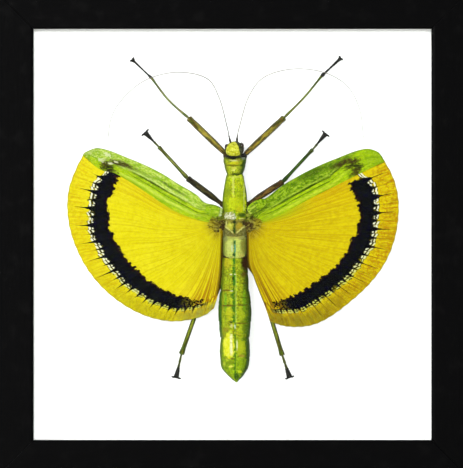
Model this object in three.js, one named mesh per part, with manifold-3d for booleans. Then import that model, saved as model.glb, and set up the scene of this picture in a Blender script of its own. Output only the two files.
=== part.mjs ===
// A mounted stick insect in a black box frame: four mitred rails, a glass front, black spacers, a
// white mount board and a backing board, and on the mount board a winged female with her wings open.
// Millimetres, +Z up. The case stands on its bottom rail with its glass towards -Y.

import * as THREE from 'three';
import { mergeVertices } from 'three/addons/utils/BufferGeometryUtils.js';
import Module from 'manifold-3d';

const wasm = await Module();
wasm.setup();

// ---------------------------------------------------------------- case sizes

const SIGHT_WIDTH = 137.5; // opening between the rails
const SIGHT_HEIGHT = 141.6;
const RAIL_FACE = 15; // width of a rail from the front
const RAIL_DEPTH = 30;
const LIP_DEPTH = 3; // thickness of the lip in front of the glass
const REBATE = 6; // how far the glass and boards go in behind the lip
const FRONT_EDGE_ROUND = 1.2;
const GAP = 0.3; // clearance between touching pieces
const GLASS_THICKNESS = 2;
const VIEW_DEPTH = 14.8; // glass to mount board, which is the depth of the spacers with their gaps
const MOUNT_BOARD_THICKNESS = 2.5;
const BACKING_THICKNESS = 3;
const CASE_FRONT = -16; // y of the front of the rails

const GLASS_FRONT = CASE_FRONT + LIP_DEPTH + GAP;
const GLASS_BACK = GLASS_FRONT + GLASS_THICKNESS;
const MOUNT_BOARD_FRONT = GLASS_BACK + VIEW_DEPTH;
const MOUNT_BOARD_BACK = MOUNT_BOARD_FRONT + MOUNT_BOARD_THICKNESS;
const BACKING_FRONT = MOUNT_BOARD_BACK + GAP;
const BACKING_BACK = BACKING_FRONT + BACKING_THICKNESS;
const RAIL_BACK = CASE_FRONT + RAIL_DEPTH;
const CASE_BACK = -CASE_FRONT; // y of the back of the bumpers
const SIGHT_MIDDLE = RAIL_FACE + SIGHT_HEIGHT / 2; // height of the middle of the opening

const HANGER_LENGTH = 44;
const HANGER_HEIGHT = 7;
const HANGER_PLAIN_END = 9; // length of each end without teeth
const HANGER_THICKNESS = 1.2;
const HANGER_TEETH = 11;
const HANGER_TOOTH = 1.6; // depth of a tooth
const BUMPER_RADIUS = 4.5;
const TAB_WIDTH = 8;
const TAB_LENGTH = 14;
const TAB_THICKNESS = 0.8;
const TAB_INSET = 38; // distance of a tab from the middle of its rail

// ---------------------------------------------------------------- insect sizes

// The insect's own frame: x across, z towards the head, both from the middle of the body between the
// hinges of the hind wings. y is the case's own.
const INSECT_X = 0.8; // the body lies a little right of the middle of the board
const HINGE_HEIGHT = 89.4;
const BODY_Y = 0.5; // depth of the body's widest line
const BACK_RISE = 2.9; // from the widest line to the back
const BELLY_DROP = 3.1; // from the widest line to the belly
const MEMBRANE = 0.6; // thickness of the wings
const JOINT_GAP = 0.3; // between the plates of the body and the pieces of a leg

// Plates of the body from the neck to the tip: the height where each begins and ends, and its
// half-width at its front, its middle and its back.
const PLATES = [
  { name: 'prothorax', from: 22.3, to: 16.7, halfWidths: [3.9, 3.8, 2.7] },
  { name: 'mesothorax', from: 16.4, to: 1.8, halfWidths: [3.0, 4.0, 4.4] },
  { name: 'metathorax', from: 1.5, to: -4.1, halfWidths: [4.2, 4.3, 4.2] },
  { name: 'median_segment', from: -4.4, to: -11.6, halfWidths: [4.2, 4.2, 4.1] },
  { name: 'abdomen_2', from: -11.9, to: -17.2, halfWidths: [4.1, 4.3, 4.4] },
  { name: 'abdomen_3', from: -17.5, to: -23.1, halfWidths: [4.4, 4.7, 4.8] },
  { name: 'abdomen_4', from: -23.4, to: -27.5, halfWidths: [4.9, 5.3, 5.5] },
  { name: 'abdomen_5', from: -27.8, to: -33.8, halfWidths: [5.5, 5.7, 5.5] },
  { name: 'abdomen_6', from: -34.1, to: -39.3, halfWidths: [5.4, 5.3, 4.9] },
  { name: 'abdomen_7', from: -39.6, to: -46.0, halfWidths: [4.8, 5.1, 5.1] },
  { name: 'abdomen_8', from: -46.3, to: -50.3, halfWidths: [5.0, 4.7, 3.8] },
];
const TIP_PLATE = { name: 'abdomen_9', from: -50.6, to: -54.4, halfWidths: [3.6, 2.3, 0.4] };
const TIP_LEAN = 0.55; // the tip points a little to the right
const FULL_DEPTH_HALF_WIDTH = 5; // plates at least this wide have the full depth
const THINNEST = 0.35; // share of the full depth where the body narrows to nothing
const SHOULDER_DROP = 0.045; // how much a plate narrows at each end

const HEAD_MIDDLE = 26.0;
const HEAD_HALF_LENGTH = 2.75;
const HEAD_HALF_WIDTH = 3.1;
const HEAD_HALF_DEPTH = 2.3;
const HEAD_TURN = THREE.MathUtils.degToRad(-5); // the head looks a little to the left
const EYE_RADIUS = 0.95;
// Places on the head are [across, from front to back of the case, ahead], from the head's middle.
const EYE_AT = [2.65, -0.25, 0.9];
const LIP = { at: [0, 1.0, 2.35], halfSizes: [1.35, 0.8, 0.85] };
const JAW = { at: [0.95, 1.35, 1.9], halfSizes: [0.75, 0.75, 0.95] };
const FEELER_SOCKET = { at: [1.35, -0.45, 3.6], halfSizes: [0.75, 0.75, 1.3] };

// Where the routes of the feelers pass, as [x, y, z].
const FEELER_THICKNESS = 0.5;
const FEELERS = {
  left: [
    [-1.9, -0.3, 29.9], [-2.8, -0.4, 34.2], [-5.5, 0.2, 43.9], [-9.9, 0.7, 50.5],
    [-20.1, 0.9, 52.5], [-30.8, 1.0, 49.8], [-38.6, 1.6, 43.5], [-42.6, 2.3, 37.0],
    [-44.0, 3.2, 29.0],
  ],
  right: [
    [0.8, -0.3, 29.8], [1.6, -0.4, 33.7], [4.75, 0.2, 43.9], [10.0, 0.7, 50.7],
    [19.7, 0.9, 53.6], [30.3, 0.9, 52.6], [38.6, 1.4, 48.0], [43.1, 2.0, 39.9],
    [44.5, 3.2, 29.7],
  ],
};

// The joints of the legs: hip, knee, ankle and the end of the foot, as [x, y, z].
const LEGS = {
  front_left: [[-3.7, 2.5, 24.8], [-16.0, 1.7, 36.7], [-28.8, 3.0, 50.5], [-35.2, 3.55, 56.6]],
  front_right: [[3.8, 2.5, 24.4], [17.1, 1.7, 36.9], [30.1, 3.0, 51.3], [36.3, 3.55, 57.1]],
  middle_left: [[-5.05, 1.9, 7.4], [-16.4, 1.7, 15.9], [-26.3, 3.0, 26.7], [-30.7, 3.55, 31.3]],
  middle_right: [[5.3, 1.9, 7.4], [16.6, 1.7, 14.7], [26.9, 3.0, 25.8], [31.1, 3.55, 30.9]],
  hind_left: [[-4.9, 2.6, -6.4], [-11.1, 3.1, -24.1], [-18.5, 3.4, -45.0], [-20.2, 3.55, -52.6]],
  hind_right: [[4.9, 2.6, -6.4], [10.1, 3.1, -24.4], [16.4, 3.4, -45.4], [18.8, 3.55, -52.6]],
};
const FRONT_SHIN_BOW = { front_left: [-0.65, 0, -0.6], front_right: [0.35, 0, -0.3] };
const HIP_RADIUS = 0.65;
const THIGH_RADIUS = 0.98;
const SHIN_RADIUS = 0.55;
const FOOT_RADIUS = 0.3;
const FOOT_JOINTS = 5;
const CLAW_REACH = 1.35; // from the foot's axis to the tip of a claw
const CLAW_RADIUS = 0.27;

// Hind wings, in polar measures about each hinge: the angle is turned outwards from straight ahead,
// in degrees. Each row is [distance, angle], apart from the margin's, which are [angle, distance].
const HINGE_OUT = 4.85; // from the middle of the body
const WINGS = {
  left: {
    leading: [
      [5.9, 5], [8.6, 34], [13, 39.6], [19.5, 46.2], [26.3, 49.2], [38.6, 54.3], [50, 58.3], [53.4, 62.6],
    ],
    border: [[3, 82], [14.3, 74.8], [28.6, 66.5], [40.3, 64.1], [45.5, 65.4], [53.4, 63.2]],
    margin: [
      [63, 53.2], [80, 53.9], [103, 50.2], [127, 44.6], [151, 38.5], [163, 34.6], [172, 31.2], [180, 27],
    ],
    inner: [[0, 179], [16, 179], [25.6, 177], [29, 175.4]],
    tip: 53.4,
  },
  right: {
    leading: [
      [5.9, 5], [8, 22], [11, 34], [17, 40.5], [24.5, 46.3], [36.7, 52.7], [48, 57.2], [51.2, 61], [51.7, 64],
    ],
    border: [[3, 82], [10.5, 72.8], [20.2, 67.8], [34, 65.8], [45.6, 65.2], [51.7, 65.2]],
    margin: [
      [65, 51.8], [74, 52.6], [84, 52.2], [103, 49.6], [127, 44.3], [147, 41.4], [159, 37.8], [168, 34.4],
      [180, 30],
    ],
    inner: [[0, 180], [13, 180], [18.4, 174.8], [27, 169.7], [34.3, 167.6]],
    tip: 51.7,
  },
};
const ROOT_REACH = 1.2; // where the membrane begins
const STRIP_CLEARANCE = 0.4; // between the strip and the fan
const WING_Y_ROOT = -1.2;
const WING_Y_SIDE = 3.2; // the side margin lies on the board
const WING_Y_REAR = 1.8; // the rear margin rides over the hind legs
const PLEATS = 10; // folds of the fan from border to inner edge
const PLEAT_DEPTH = 0.3;
const STRIP_CAMBER = 0.5; // rise of the stiff strip along its middle

const COVER_HALF_WIDTH = 1.9; // wing covers
const COVER_RISE = 1.3;
const COVERS = {
  left: { root: [-4.4, -2.4, 4.0], end: [-10.2, -1.5, 5.3] },
  right: { root: [4.6, -2.4, 4.4], end: [10.7, -1.5, 7.9] },
};

// ---------------------------------------------------------------- materials

function finish(color, roughness, metalness = 0) {
  return new THREE.MeshStandardMaterial({ color, roughness, metalness });
}

const blackPaint = () => finish(0x0b0b0b, 0.45);
const blackPaper = () => finish(0x0d0d0d, 0.8);
const clearGlass = () => finish(0xf2f6f4, 0.05);
const whiteBoard = () => finish(0xf7f7f4, 0.85);
const brownBoard = () => finish(0x6b4a2e, 0.8);
const zincPlate = () => finish(0xb9b9b4, 0.4, 0.9);
const greyRubber = () => finish(0x3a3a3a, 0.9);
const headShell = () => finish(0xd8dd34, 0.5);
const bodyShell = () => finish(0xa9b423, 0.45);
const eyeShell = () => finish(0x2b1a12, 0.2);
const feelerHorn = () => finish(0x3a352a, 0.5);
const thighShell = () => finish(0x8a8043, 0.5);
const shinShell = () => finish(0x7f8c35, 0.5);
const footShell = () => finish(0x16140f, 0.5);
const yellowMembrane = () => finish(0xe6cf14, 0.45);
const greenMembrane = () => finish(0xa9cf2c, 0.45);

// ---------------------------------------------------------------- shaping

// A mesh of one material.
function piece(name, geometry, material) {
  const mesh = new THREE.Mesh(geometry, material);
  mesh.name = name;
  return mesh;
}

// Six times the volume that a closed indexed shape's triangles enclose, negative when they face in.
function turnedVolume(geometry) {
  const positions = geometry.getAttribute('position');
  const corners = [new THREE.Vector3(), new THREE.Vector3(), new THREE.Vector3()];
  let sum = 0;
  for (let i = 0; i < geometry.index.count; i += 3) {
    corners.forEach((corner, k) => corner.fromBufferAttribute(positions, geometry.index.getX(i + k)));
    sum += corners[0].dot(corners[1].cross(corners[2]));
  }
  return sum;
}

// The same shape with its faces turned outwards.
function facingOut(geometry) {
  if (turnedVolume(geometry) < 0) {
    const order = geometry.index;
    for (let i = 0; i < order.count; i += 3) {
      const second = order.getX(i + 1);
      order.setX(i + 1, order.getX(i + 2));
      order.setX(i + 2, second);
    }
  }
  return geometry;
}

// A copy of a shape with every vertex moved to place(x, y, z), and with its seams closed.
function moulded(geometry, place) {
  const shape = geometry.index ? geometry.clone() : mergeVertices(geometry);
  shape.deleteAttribute('normal');
  shape.deleteAttribute('uv');
  const positions = shape.getAttribute('position');
  for (let i = 0; i < positions.count; i += 1) {
    positions.setXYZ(i, ...place(positions.getX(i), positions.getY(i), positions.getZ(i)));
  }
  return facingOut(mergeVertices(shape, 1e-4));
}

const asSolid = (geometry) => new wasm.Manifold(new wasm.Mesh({
  numProp: 3,
  vertProperties: new Float32Array(geometry.getAttribute('position').array),
  triVerts: new Uint32Array(geometry.index.array),
}));

function asGeometry(solid) {
  const { vertProperties, triVerts } = solid.getMesh();
  const geometry = new THREE.BufferGeometry();
  geometry.setAttribute('position', new THREE.BufferAttribute(vertProperties, 3));
  geometry.setIndex(new THREE.BufferAttribute(triVerts, 1));
  return geometry;
}

const joined = (shapes) => asGeometry(shapes.map(asSolid).reduce((sum, solid) => sum.add(solid)));

// A smooth function through [input, output] rows, level beyond the first and the last.
function through(rows) {
  const inputs = rows.map(([input]) => input);
  const curve = new THREE.CubicInterpolant(inputs, rows.map(([, output]) => output), 1);
  return (x) => curve.evaluate(THREE.MathUtils.clamp(x, inputs[0], inputs[inputs.length - 1]))[0];
}

// A solid along a route of [x, y, z] points, whose radius at each share of its length is given.
function limb(route, radiusAt, sides, steps, tension = 0.5) {
  const points = route.map((point) => new THREE.Vector3(...point));
  const curve = new THREE.CatmullRomCurve3(points, false, 'catmullrom', tension);
  const towardsBack = new THREE.Vector3(0, 1, 0);
  return moulded(new THREE.CylinderGeometry(1, 1, 1, sides, steps), (x, y, z) => {
    const share = y + 0.5;
    const along = curve.getTangentAt(share);
    const across = along.clone().cross(towardsBack).normalize();
    const out = across.clone().cross(along);
    const offset = across.multiplyScalar(x).addScaledVector(out, z).multiplyScalar(radiusAt(share));
    return curve.getPointAt(share).add(offset).toArray();
  });
}

// A rounded lump at [x, y, z] with its own half-sizes.
function lump(at, halfSizes, sides = 10, rings = 7) {
  const place = (...unit) => unit.map((value, k) => at[k] + value * halfSizes[k]);
  return moulded(new THREE.SphereGeometry(1, sides, rings), place);
}

// A place on the left side and its twin on the right.
const bothSides = ([x, y, z]) => [[-x, y, z], [x, y, z]];

const pointBetween = (a, b, share) => a.map((value, k) => value + (b[k] - value) * share);

function distance(a, b) {
  return Math.hypot(...a.map((value, k) => value - b[k]));
}

// ---------------------------------------------------------------- case

// Section of a rail: u runs outwards from the sight edge, v backwards from the front.
function railSection() {
  const shape = new THREE.Shape();
  shape.moveTo(0, FRONT_EDGE_ROUND);
  shape.quadraticCurveTo(0, 0, FRONT_EDGE_ROUND, 0);
  shape.lineTo(RAIL_FACE - FRONT_EDGE_ROUND, 0);
  shape.quadraticCurveTo(RAIL_FACE, 0, RAIL_FACE, FRONT_EDGE_ROUND);
  shape.lineTo(RAIL_FACE, RAIL_DEPTH);
  shape.lineTo(REBATE, RAIL_DEPTH);
  shape.lineTo(REBATE, LIP_DEPTH);
  shape.lineTo(0, LIP_DEPTH);
  return shape;
}

// A rail along x above the opening, mitred at 45 degrees, with its sight edge at z = 0.
function rail(name, sightLength) {
  const blank = new THREE.ExtrudeGeometry(railSection(), { depth: 1, bevelEnabled: false, curveSegments: 3 });
  const geometry = moulded(blank, (u, v, end) => {
    const halfLength = sightLength / 2 + u - GAP / Math.SQRT2;
    return [(end - 0.5) * 2 * halfLength, CASE_FRONT + v, u];
  });
  return piece(name, geometry, blackPaint());
}

// A plate that fills the rebate between two depths.
function boardBetween(name, front, back, material) {
  const inRebate = 2 * (REBATE - GAP);
  const geometry = new THREE.BoxGeometry(SIGHT_WIDTH + inRebate, back - front, SIGHT_HEIGHT + inRebate);
  const board = piece(name, geometry, material);
  board.position.set(0, (front + back) / 2, SIGHT_MIDDLE);
  return board;
}

// A black strip between the glass and the mount board, flush with the sight edge.
function spacer(name, length) {
  const geometry = new THREE.BoxGeometry(length, VIEW_DEPTH - 2 * GAP, REBATE - GAP);
  const strip = piece(name, geometry, blackPaper());
  strip.position.set(0, (GLASS_BACK + MOUNT_BOARD_FRONT) / 2, (REBATE - GAP) / 2);
  return strip;
}

// The rail and the spacer of each side, made along x with the sight edge at z = 0 and turned into place.
function sides() {
  return ['top', 'right', 'bottom', 'left'].map((side, quarter) => {
    const level = quarter % 2 === 0;
    const [sight, away] = level ? [SIGHT_WIDTH, SIGHT_HEIGHT] : [SIGHT_HEIGHT, SIGHT_WIDTH];
    const spacerLength = level ? sight + 2 * (REBATE - GAP) : sight - 2 * GAP;
    const edge = new THREE.Group();
    edge.position.z = away / 2;
    edge.add(rail(`rail_${side}`, sight), spacer(`spacer_${side}`, spacerLength));
    const turned = new THREE.Group();
    turned.position.z = SIGHT_MIDDLE;
    turned.rotation.y = (quarter * Math.PI) / 2;
    turned.add(edge);
    return turned;
  });
}

// A strip whose lower edge is a row of teeth, to hang the case by.
function hanger() {
  const shape = new THREE.Shape();
  const half = HANGER_LENGTH / 2;
  const toothedHalf = half - HANGER_PLAIN_END;
  const pitch = (2 * toothedHalf) / HANGER_TEETH;
  shape.moveTo(-half, HANGER_HEIGHT);
  shape.lineTo(-half, 0);
  shape.lineTo(-toothedHalf, 0);
  for (let tooth = 0; tooth < HANGER_TEETH; tooth += 1) {
    shape.lineTo(-toothedHalf + (tooth + 0.5) * pitch, HANGER_TOOTH);
    shape.lineTo(-toothedHalf + (tooth + 1) * pitch, 0);
  }
  shape.lineTo(half, 0);
  shape.lineTo(half, HANGER_HEIGHT);
  const plate = new THREE.ExtrudeGeometry(shape, { depth: HANGER_THICKNESS, bevelEnabled: false });
  const strip = piece('hanger', moulded(plate, (x, z, y) => [x, y, z]), zincPlate());
  const railMiddle = SIGHT_MIDDLE + SIGHT_HEIGHT / 2 + (REBATE + RAIL_FACE) / 2;
  strip.position.set(0, RAIL_BACK + GAP, railMiddle - HANGER_HEIGHT / 2);
  return strip;
}

// Round pads on the back of the bottom rail that keep the case off a wall.
function bumpers() {
  const out = SIGHT_WIDTH / 2;
  const thickness = CASE_BACK - RAIL_BACK - GAP;
  return [['bumper_left', -out], ['bumper_right', out]].map(([name, x]) => {
    const disc = new THREE.CylinderGeometry(BUMPER_RADIUS, BUMPER_RADIUS, thickness, 20);
    const pad = piece(name, disc, greyRubber());
    pad.position.set(x, RAIL_BACK + GAP + thickness / 2, (RAIL_FACE - REBATE) / 2 + GAP);
    return pad;
  });
}

// Thin metal tabs with a rounded end that hold the backing board in the rebate.
function tabs() {
  const shape = new THREE.Shape();
  shape.moveTo(-TAB_WIDTH / 2, 0);
  shape.lineTo(TAB_WIDTH / 2, 0);
  shape.lineTo(TAB_WIDTH / 2, TAB_LENGTH - TAB_WIDTH / 2);
  shape.absarc(0, TAB_LENGTH - TAB_WIDTH / 2, TAB_WIDTH / 2, 0, Math.PI);
  const options = { depth: TAB_THICKNESS, bevelEnabled: false, curveSegments: 8 };
  const blank = new THREE.ExtrudeGeometry(shape, options);
  const out = SIGHT_WIDTH / 2 + REBATE - GAP;
  const places = [
    ['tab_upper_left', -1, 1], ['tab_upper_right', 1, 1],
    ['tab_lower_left', -1, -1], ['tab_lower_right', 1, -1],
  ];
  return places.map(([name, side, level]) => {
    const tab = piece(name, moulded(blank, (x, z, y) => [side * (out - z), y, x]), zincPlate());
    tab.position.set(0, BACKING_BACK + GAP, SIGHT_MIDDLE + level * TAB_INSET);
    return tab;
  });
}

function displayCase() {
  const group = new THREE.Group();
  group.add(...sides());
  group.add(boardBetween('glass', GLASS_FRONT, GLASS_BACK, clearGlass()));
  group.add(boardBetween('mount_board', MOUNT_BOARD_FRONT, MOUNT_BOARD_BACK, whiteBoard()));
  group.add(boardBetween('backing_board', BACKING_FRONT, BACKING_BACK, brownBoard()));
  group.add(hanger(), ...bumpers(), ...tabs());
  return group;
}

// ---------------------------------------------------------------- body

// One plate: a barrel with rounded shoulders, flatter along the back than along the belly.
function plate({ name, from, to, halfWidths }, lean = 0) {
  const halfWidth = through([[0, halfWidths[0]], [0.5, halfWidths[1]], [1, halfWidths[2]]]);
  const geometry = moulded(new THREE.CylinderGeometry(1, 1, 1, 16, 4), (x, y, z) => {
    const share = 0.5 - y;
    const shoulder = 1 - SHOULDER_DROP * (2 * y) ** 6;
    const width = halfWidth(share) * shoulder;
    const fullness = THREE.MathUtils.lerp(THINNEST, 1, Math.min(1, width / FULL_DEPTH_HALF_WIDTH));
    const depth = fullness * (z < 0 ? BACK_RISE : BELLY_DROP);
    return [x * width + lean * share, BODY_Y + z * depth, from + (to - from) * share];
  });
  return piece(name, geometry, bodyShell());
}

// The head capsule with its upper lip and its two jaws, and a hollow for each eye.
function headGeometry() {
  const capsule = moulded(new THREE.SphereGeometry(1, 16, 10), (x, y, z) => {
    const taper = 1 - 0.16 * y - 0.1 * y * y;
    return [x * HEAD_HALF_WIDTH * taper, z * HEAD_HALF_DEPTH * taper, y * HEAD_HALF_LENGTH];
  });
  const lip = lump(LIP.at, LIP.halfSizes);
  const jaws = bothSides(JAW.at).map((at) => lump(at, JAW.halfSizes));
  const hollow = EYE_RADIUS + GAP;
  const eyeHollows = bothSides(EYE_AT).map((at) => lump(at, [hollow, hollow, hollow]));
  const sockets = bothSides(FEELER_SOCKET.at).map((at) => lump(at, FEELER_SOCKET.halfSizes, 8, 6));
  const shell = asSolid(joined([capsule, lip, ...jaws]));
  const cuts = [...eyeHollows, ...sockets].map(asSolid);
  return asGeometry(cuts.reduce((rest, cut) => rest.subtract(cut), shell));
}

function head() {
  const group = new THREE.Group();
  group.position.set(-0.1, BODY_Y - 0.1, HEAD_MIDDLE);
  group.rotation.y = HEAD_TURN;
  group.add(piece('head', headGeometry(), headShell()));
  const [leftEye, rightEye] = bothSides(EYE_AT).map((at) => lump(at, [EYE_RADIUS, EYE_RADIUS, EYE_RADIUS]));
  group.add(piece('eye_left', leftEye, eyeShell()), piece('eye_right', rightEye, eyeShell()));
  return group;
}

// A feeler: a thicker first joint, then a thread of even thickness.
function feeler(side) {
  const threadRadius = FEELER_THICKNESS / 2;
  const radiusAt = (share) => threadRadius + 0.15 * Math.exp(-share * 60);
  return piece(`antenna_${side}`, limb(FEELERS[side], radiusAt, 6, 26), feelerHorn());
}

// ---------------------------------------------------------------- legs

// A foot: five short joints ending in two claws that spread sideways from a soft pad.
function footGeometry(ankle, end) {
  const radiusAt = (share) => FOOT_RADIUS * (1 + 0.25 * Math.cos(2 * Math.PI * FOOT_JOINTS * share));
  const shaft = limb([ankle, pointBetween(ankle, end, 0.5), end], radiusAt, 5, 2 * FOOT_JOINTS);
  const length = distance(ankle, end);
  const ahead = ankle.map((value, k) => (end[k] - value) / length);
  const claws = [-1, 1].map((side) => {
    const aside = [side * ahead[2], 0, -side * ahead[0]];
    const spread = (out, on) => end.map((value, k) => value + aside[k] * out + ahead[k] * on);
    const route = [spread(-0.1, -0.35), spread(CLAW_REACH * 0.55, 0.1), spread(CLAW_REACH, 0.05)];
    return limb(route, () => CLAW_RADIUS, 5, 2);
  });
  const pad = lump(end, [0.42, 0.3, 0.42], 6, 4);
  return joined([shaft, ...claws, pad]);
}

function leg(name) {
  const [hip, knee, ankle, end] = LEGS[name];
  const bow = FRONT_SHIN_BOW[name] ?? [0, 0, 0];
  const kneeGap = (JOINT_GAP + THIGH_RADIUS * 0.5) / distance(knee, ankle);
  const ankleGap = JOINT_GAP / distance(ankle, end);
  const shinStart = pointBetween(knee, ankle, kneeGap);
  const shinMiddle = pointBetween(knee, ankle, 0.5).map((value, k) => value + bow[k]);
  const footStart = pointBetween(ankle, end, ankleGap);
  const thighAt = (share) => HIP_RADIUS + (THIGH_RADIUS - HIP_RADIUS) * Math.min(1, share * 4);
  const shinAt = (share) => SHIN_RADIUS * (1.15 - 0.3 * share + 0.15 * share ** 6);
  return [
    piece(`femur_${name}`, limb([hip, pointBetween(hip, knee, 0.5), knee], thighAt, 8, 5), thighShell()),
    piece(`tibia_${name}`, limb([shinStart, shinMiddle, ankle], shinAt, 8, 5), shinShell()),
    piece(`tarsus_${name}`, footGeometry(footStart, end), footShell()),
  ];
}

// ---------------------------------------------------------------- wings

// A plate whose middle surface is at(across, along), both from 0 to 1, thickened along y.
function membrane(columns, rows, at) {
  return moulded(new THREE.BoxGeometry(1, 1, 1, columns, rows, 1), (x, y, z) => {
    const [px, py, pz] = at(x + 0.5, y + 0.5);
    return [px, py + z * MEMBRANE, pz];
  });
}

// Depth of a hind wing's surface at a share of the way from the hinge to the margin.
function wingDepth(angle, share) {
  const rearwards = THREE.MathUtils.smoothstep(angle, 125, 155);
  const atMargin = THREE.MathUtils.lerp(WING_Y_SIDE, WING_Y_REAR, rearwards);
  return THREE.MathUtils.lerp(WING_Y_ROOT, atMargin, share);
}

// Point of a wing from polar measures about its hinge.
function fromHinge(side, radius, angle, y) {
  const turn = THREE.MathUtils.degToRad(angle);
  return [side * (HINGE_OUT + radius * Math.sin(turn)), y, radius * Math.cos(turn)];
}

// The stiff green strip along the leading edge.
function wingStrip(label, side) {
  const { leading, border, tip } = WINGS[label];
  const leadingAt = through(leading);
  const borderAt = through(border);
  const geometry = membrane(3, 15, (across, along) => {
    const radius = THREE.MathUtils.lerp(leading[0][0] * 0.45, tip - 0.2, Math.sin((Math.PI / 2) * along));
    const borderAngle = borderAt(radius) - THREE.MathUtils.radToDeg(STRIP_CLEARANCE / radius);
    const leadingAngle = Math.min(leadingAt(radius), borderAngle - 0.8);
    const angle = THREE.MathUtils.lerp(leadingAngle, borderAngle, across);
    const camber = STRIP_CAMBER * Math.sin(Math.PI * across) * Math.sin(Math.PI * along);
    return fromHinge(side, radius, angle, wingDepth(angle, radius / tip) - camber);
  });
  return piece(`hindwing_strip_${label}`, geometry, greenMembrane());
}

// The pleated fan behind the strip.
function wingFan(label, side) {
  const { border, margin, inner } = WINGS[label];
  const borderAt = through(border);
  const marginAt = through(margin);
  const innerAt = through(inner);
  const firstAngle = margin[0][0];
  const lastAngle = inner[inner.length - 1][1];
  const geometry = membrane(2 * PLEATS, 8, (across, along) => {
    const reach = marginAt(THREE.MathUtils.lerp(firstAngle, lastAngle, across));
    const radius = THREE.MathUtils.lerp(ROOT_REACH, reach, along);
    const angle = THREE.MathUtils.lerp(borderAt(radius), innerAt(radius), across);
    const fold = PLEAT_DEPTH * along * Math.cos(2 * Math.PI * PLEATS * across);
    return fromHinge(side, radius, angle, wingDepth(angle, radius / reach) + fold);
  });
  return piece(`hindwing_fan_${label}`, geometry, yellowMembrane());
}

// A wing cover: a short leaf with a hump, over the root of the hind wing.
function wingCover(label) {
  const { root, end } = COVERS[label];
  const length = distance(root, end);
  const ahead = root.map((value, k) => (end[k] - value) / length);
  const aside = [ahead[2], 0, -ahead[0]];
  const geometry = membrane(4, 6, (across, along) => {
    const belly = Math.sin(Math.PI * (0.12 + 0.8 * along)) ** 0.7;
    const out = (2 * across - 1) * COVER_HALF_WIDTH * (0.25 + 0.75 * belly);
    const hump = COVER_RISE * Math.sin(Math.PI * across) * Math.sin(Math.PI * Math.min(1, 0.15 + along));
    const [x, y, z] = pointBetween(root, end, along);
    return [x + aside[0] * out, y - hump, z + aside[2] * out];
  });
  return piece(`tegmen_${label}`, geometry, greenMembrane());
}

function wings() {
  return [['left', -1], ['right', 1]].flatMap(([label, side]) => [
    wingStrip(label, side),
    wingFan(label, side),
    wingCover(label),
  ]);
}

// ---------------------------------------------------------------- whole

function stickInsect() {
  const group = new THREE.Group();
  group.position.set(INSECT_X, 0, HINGE_HEIGHT);
  group.add(head(), feeler('left'), feeler('right'));
  group.add(...PLATES.map((body) => plate(body)), plate(TIP_PLATE, TIP_LEAN));
  group.add(...wings());
  group.add(...Object.keys(LEGS).flatMap(leg));
  return group;
}

const framedStickInsect = new THREE.Group();
framedStickInsect.add(displayCase(), stickInsect());

export default framedStickInsect;
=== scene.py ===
from math import cos, exp, hypot, pi, radians, sin

import bmesh
import bpy
from mathutils import Matrix, Vector, noise


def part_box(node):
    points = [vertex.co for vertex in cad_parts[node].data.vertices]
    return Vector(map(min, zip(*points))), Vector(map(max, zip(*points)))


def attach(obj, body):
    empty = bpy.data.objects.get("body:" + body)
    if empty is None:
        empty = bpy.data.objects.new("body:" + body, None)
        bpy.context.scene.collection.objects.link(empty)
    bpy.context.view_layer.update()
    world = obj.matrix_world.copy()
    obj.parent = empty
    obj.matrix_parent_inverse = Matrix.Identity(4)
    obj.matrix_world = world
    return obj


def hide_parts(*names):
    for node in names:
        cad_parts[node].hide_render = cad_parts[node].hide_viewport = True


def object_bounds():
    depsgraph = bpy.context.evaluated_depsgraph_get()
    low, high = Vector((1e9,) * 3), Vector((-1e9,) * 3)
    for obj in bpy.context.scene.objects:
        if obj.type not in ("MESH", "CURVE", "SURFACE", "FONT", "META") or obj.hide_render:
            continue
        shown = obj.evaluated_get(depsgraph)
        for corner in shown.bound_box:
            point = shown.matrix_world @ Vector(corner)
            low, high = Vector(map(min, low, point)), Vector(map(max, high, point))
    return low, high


bl_info = {
    "name": "Framed winged stick insect",
    "version": (1, 0, 0),
    "blender": (4, 5, 0),
    "location": "3D View > Sidebar > Specimen",
    "description": "Builds a mounted stick insect with open wings in its box frame",
    "category": "Object",
}

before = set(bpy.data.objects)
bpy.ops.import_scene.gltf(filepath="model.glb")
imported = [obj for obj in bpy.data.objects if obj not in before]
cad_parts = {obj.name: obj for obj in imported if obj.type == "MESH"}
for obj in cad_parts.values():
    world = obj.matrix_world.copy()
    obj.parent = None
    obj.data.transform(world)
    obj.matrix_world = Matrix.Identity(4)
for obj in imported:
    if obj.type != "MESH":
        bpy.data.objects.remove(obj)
CAD_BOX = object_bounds()

MM = 0.001
STAGE_LIGHT = 1.6  # brightness of the stage, where 1 shows a white surface as full white
VIEW_HEIGHT = 0.16174  # how much of the plane of the insect the camera takes in
VIEW_MIDDLE = (-0.00035, 0.08597)  # across and up
FLOOR_HALF = 12
SIDES = {"left": -1, "right": 1}
CREASE = 50  # angle between two faces, in degrees, above which the edge between them is crisp

# The insect's own frame, in millimetres: x across, z towards the head, both from the middle of the
# body between the hinges of the hind wings. y is the case's own, and smaller y is nearer the glass.
INSECT_X = 0.8
HINGE_HEIGHT = 89.4
BODY_Y = 0.5
BACK_RISE = 2.9
BELLY_DROP = 3.1

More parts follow.
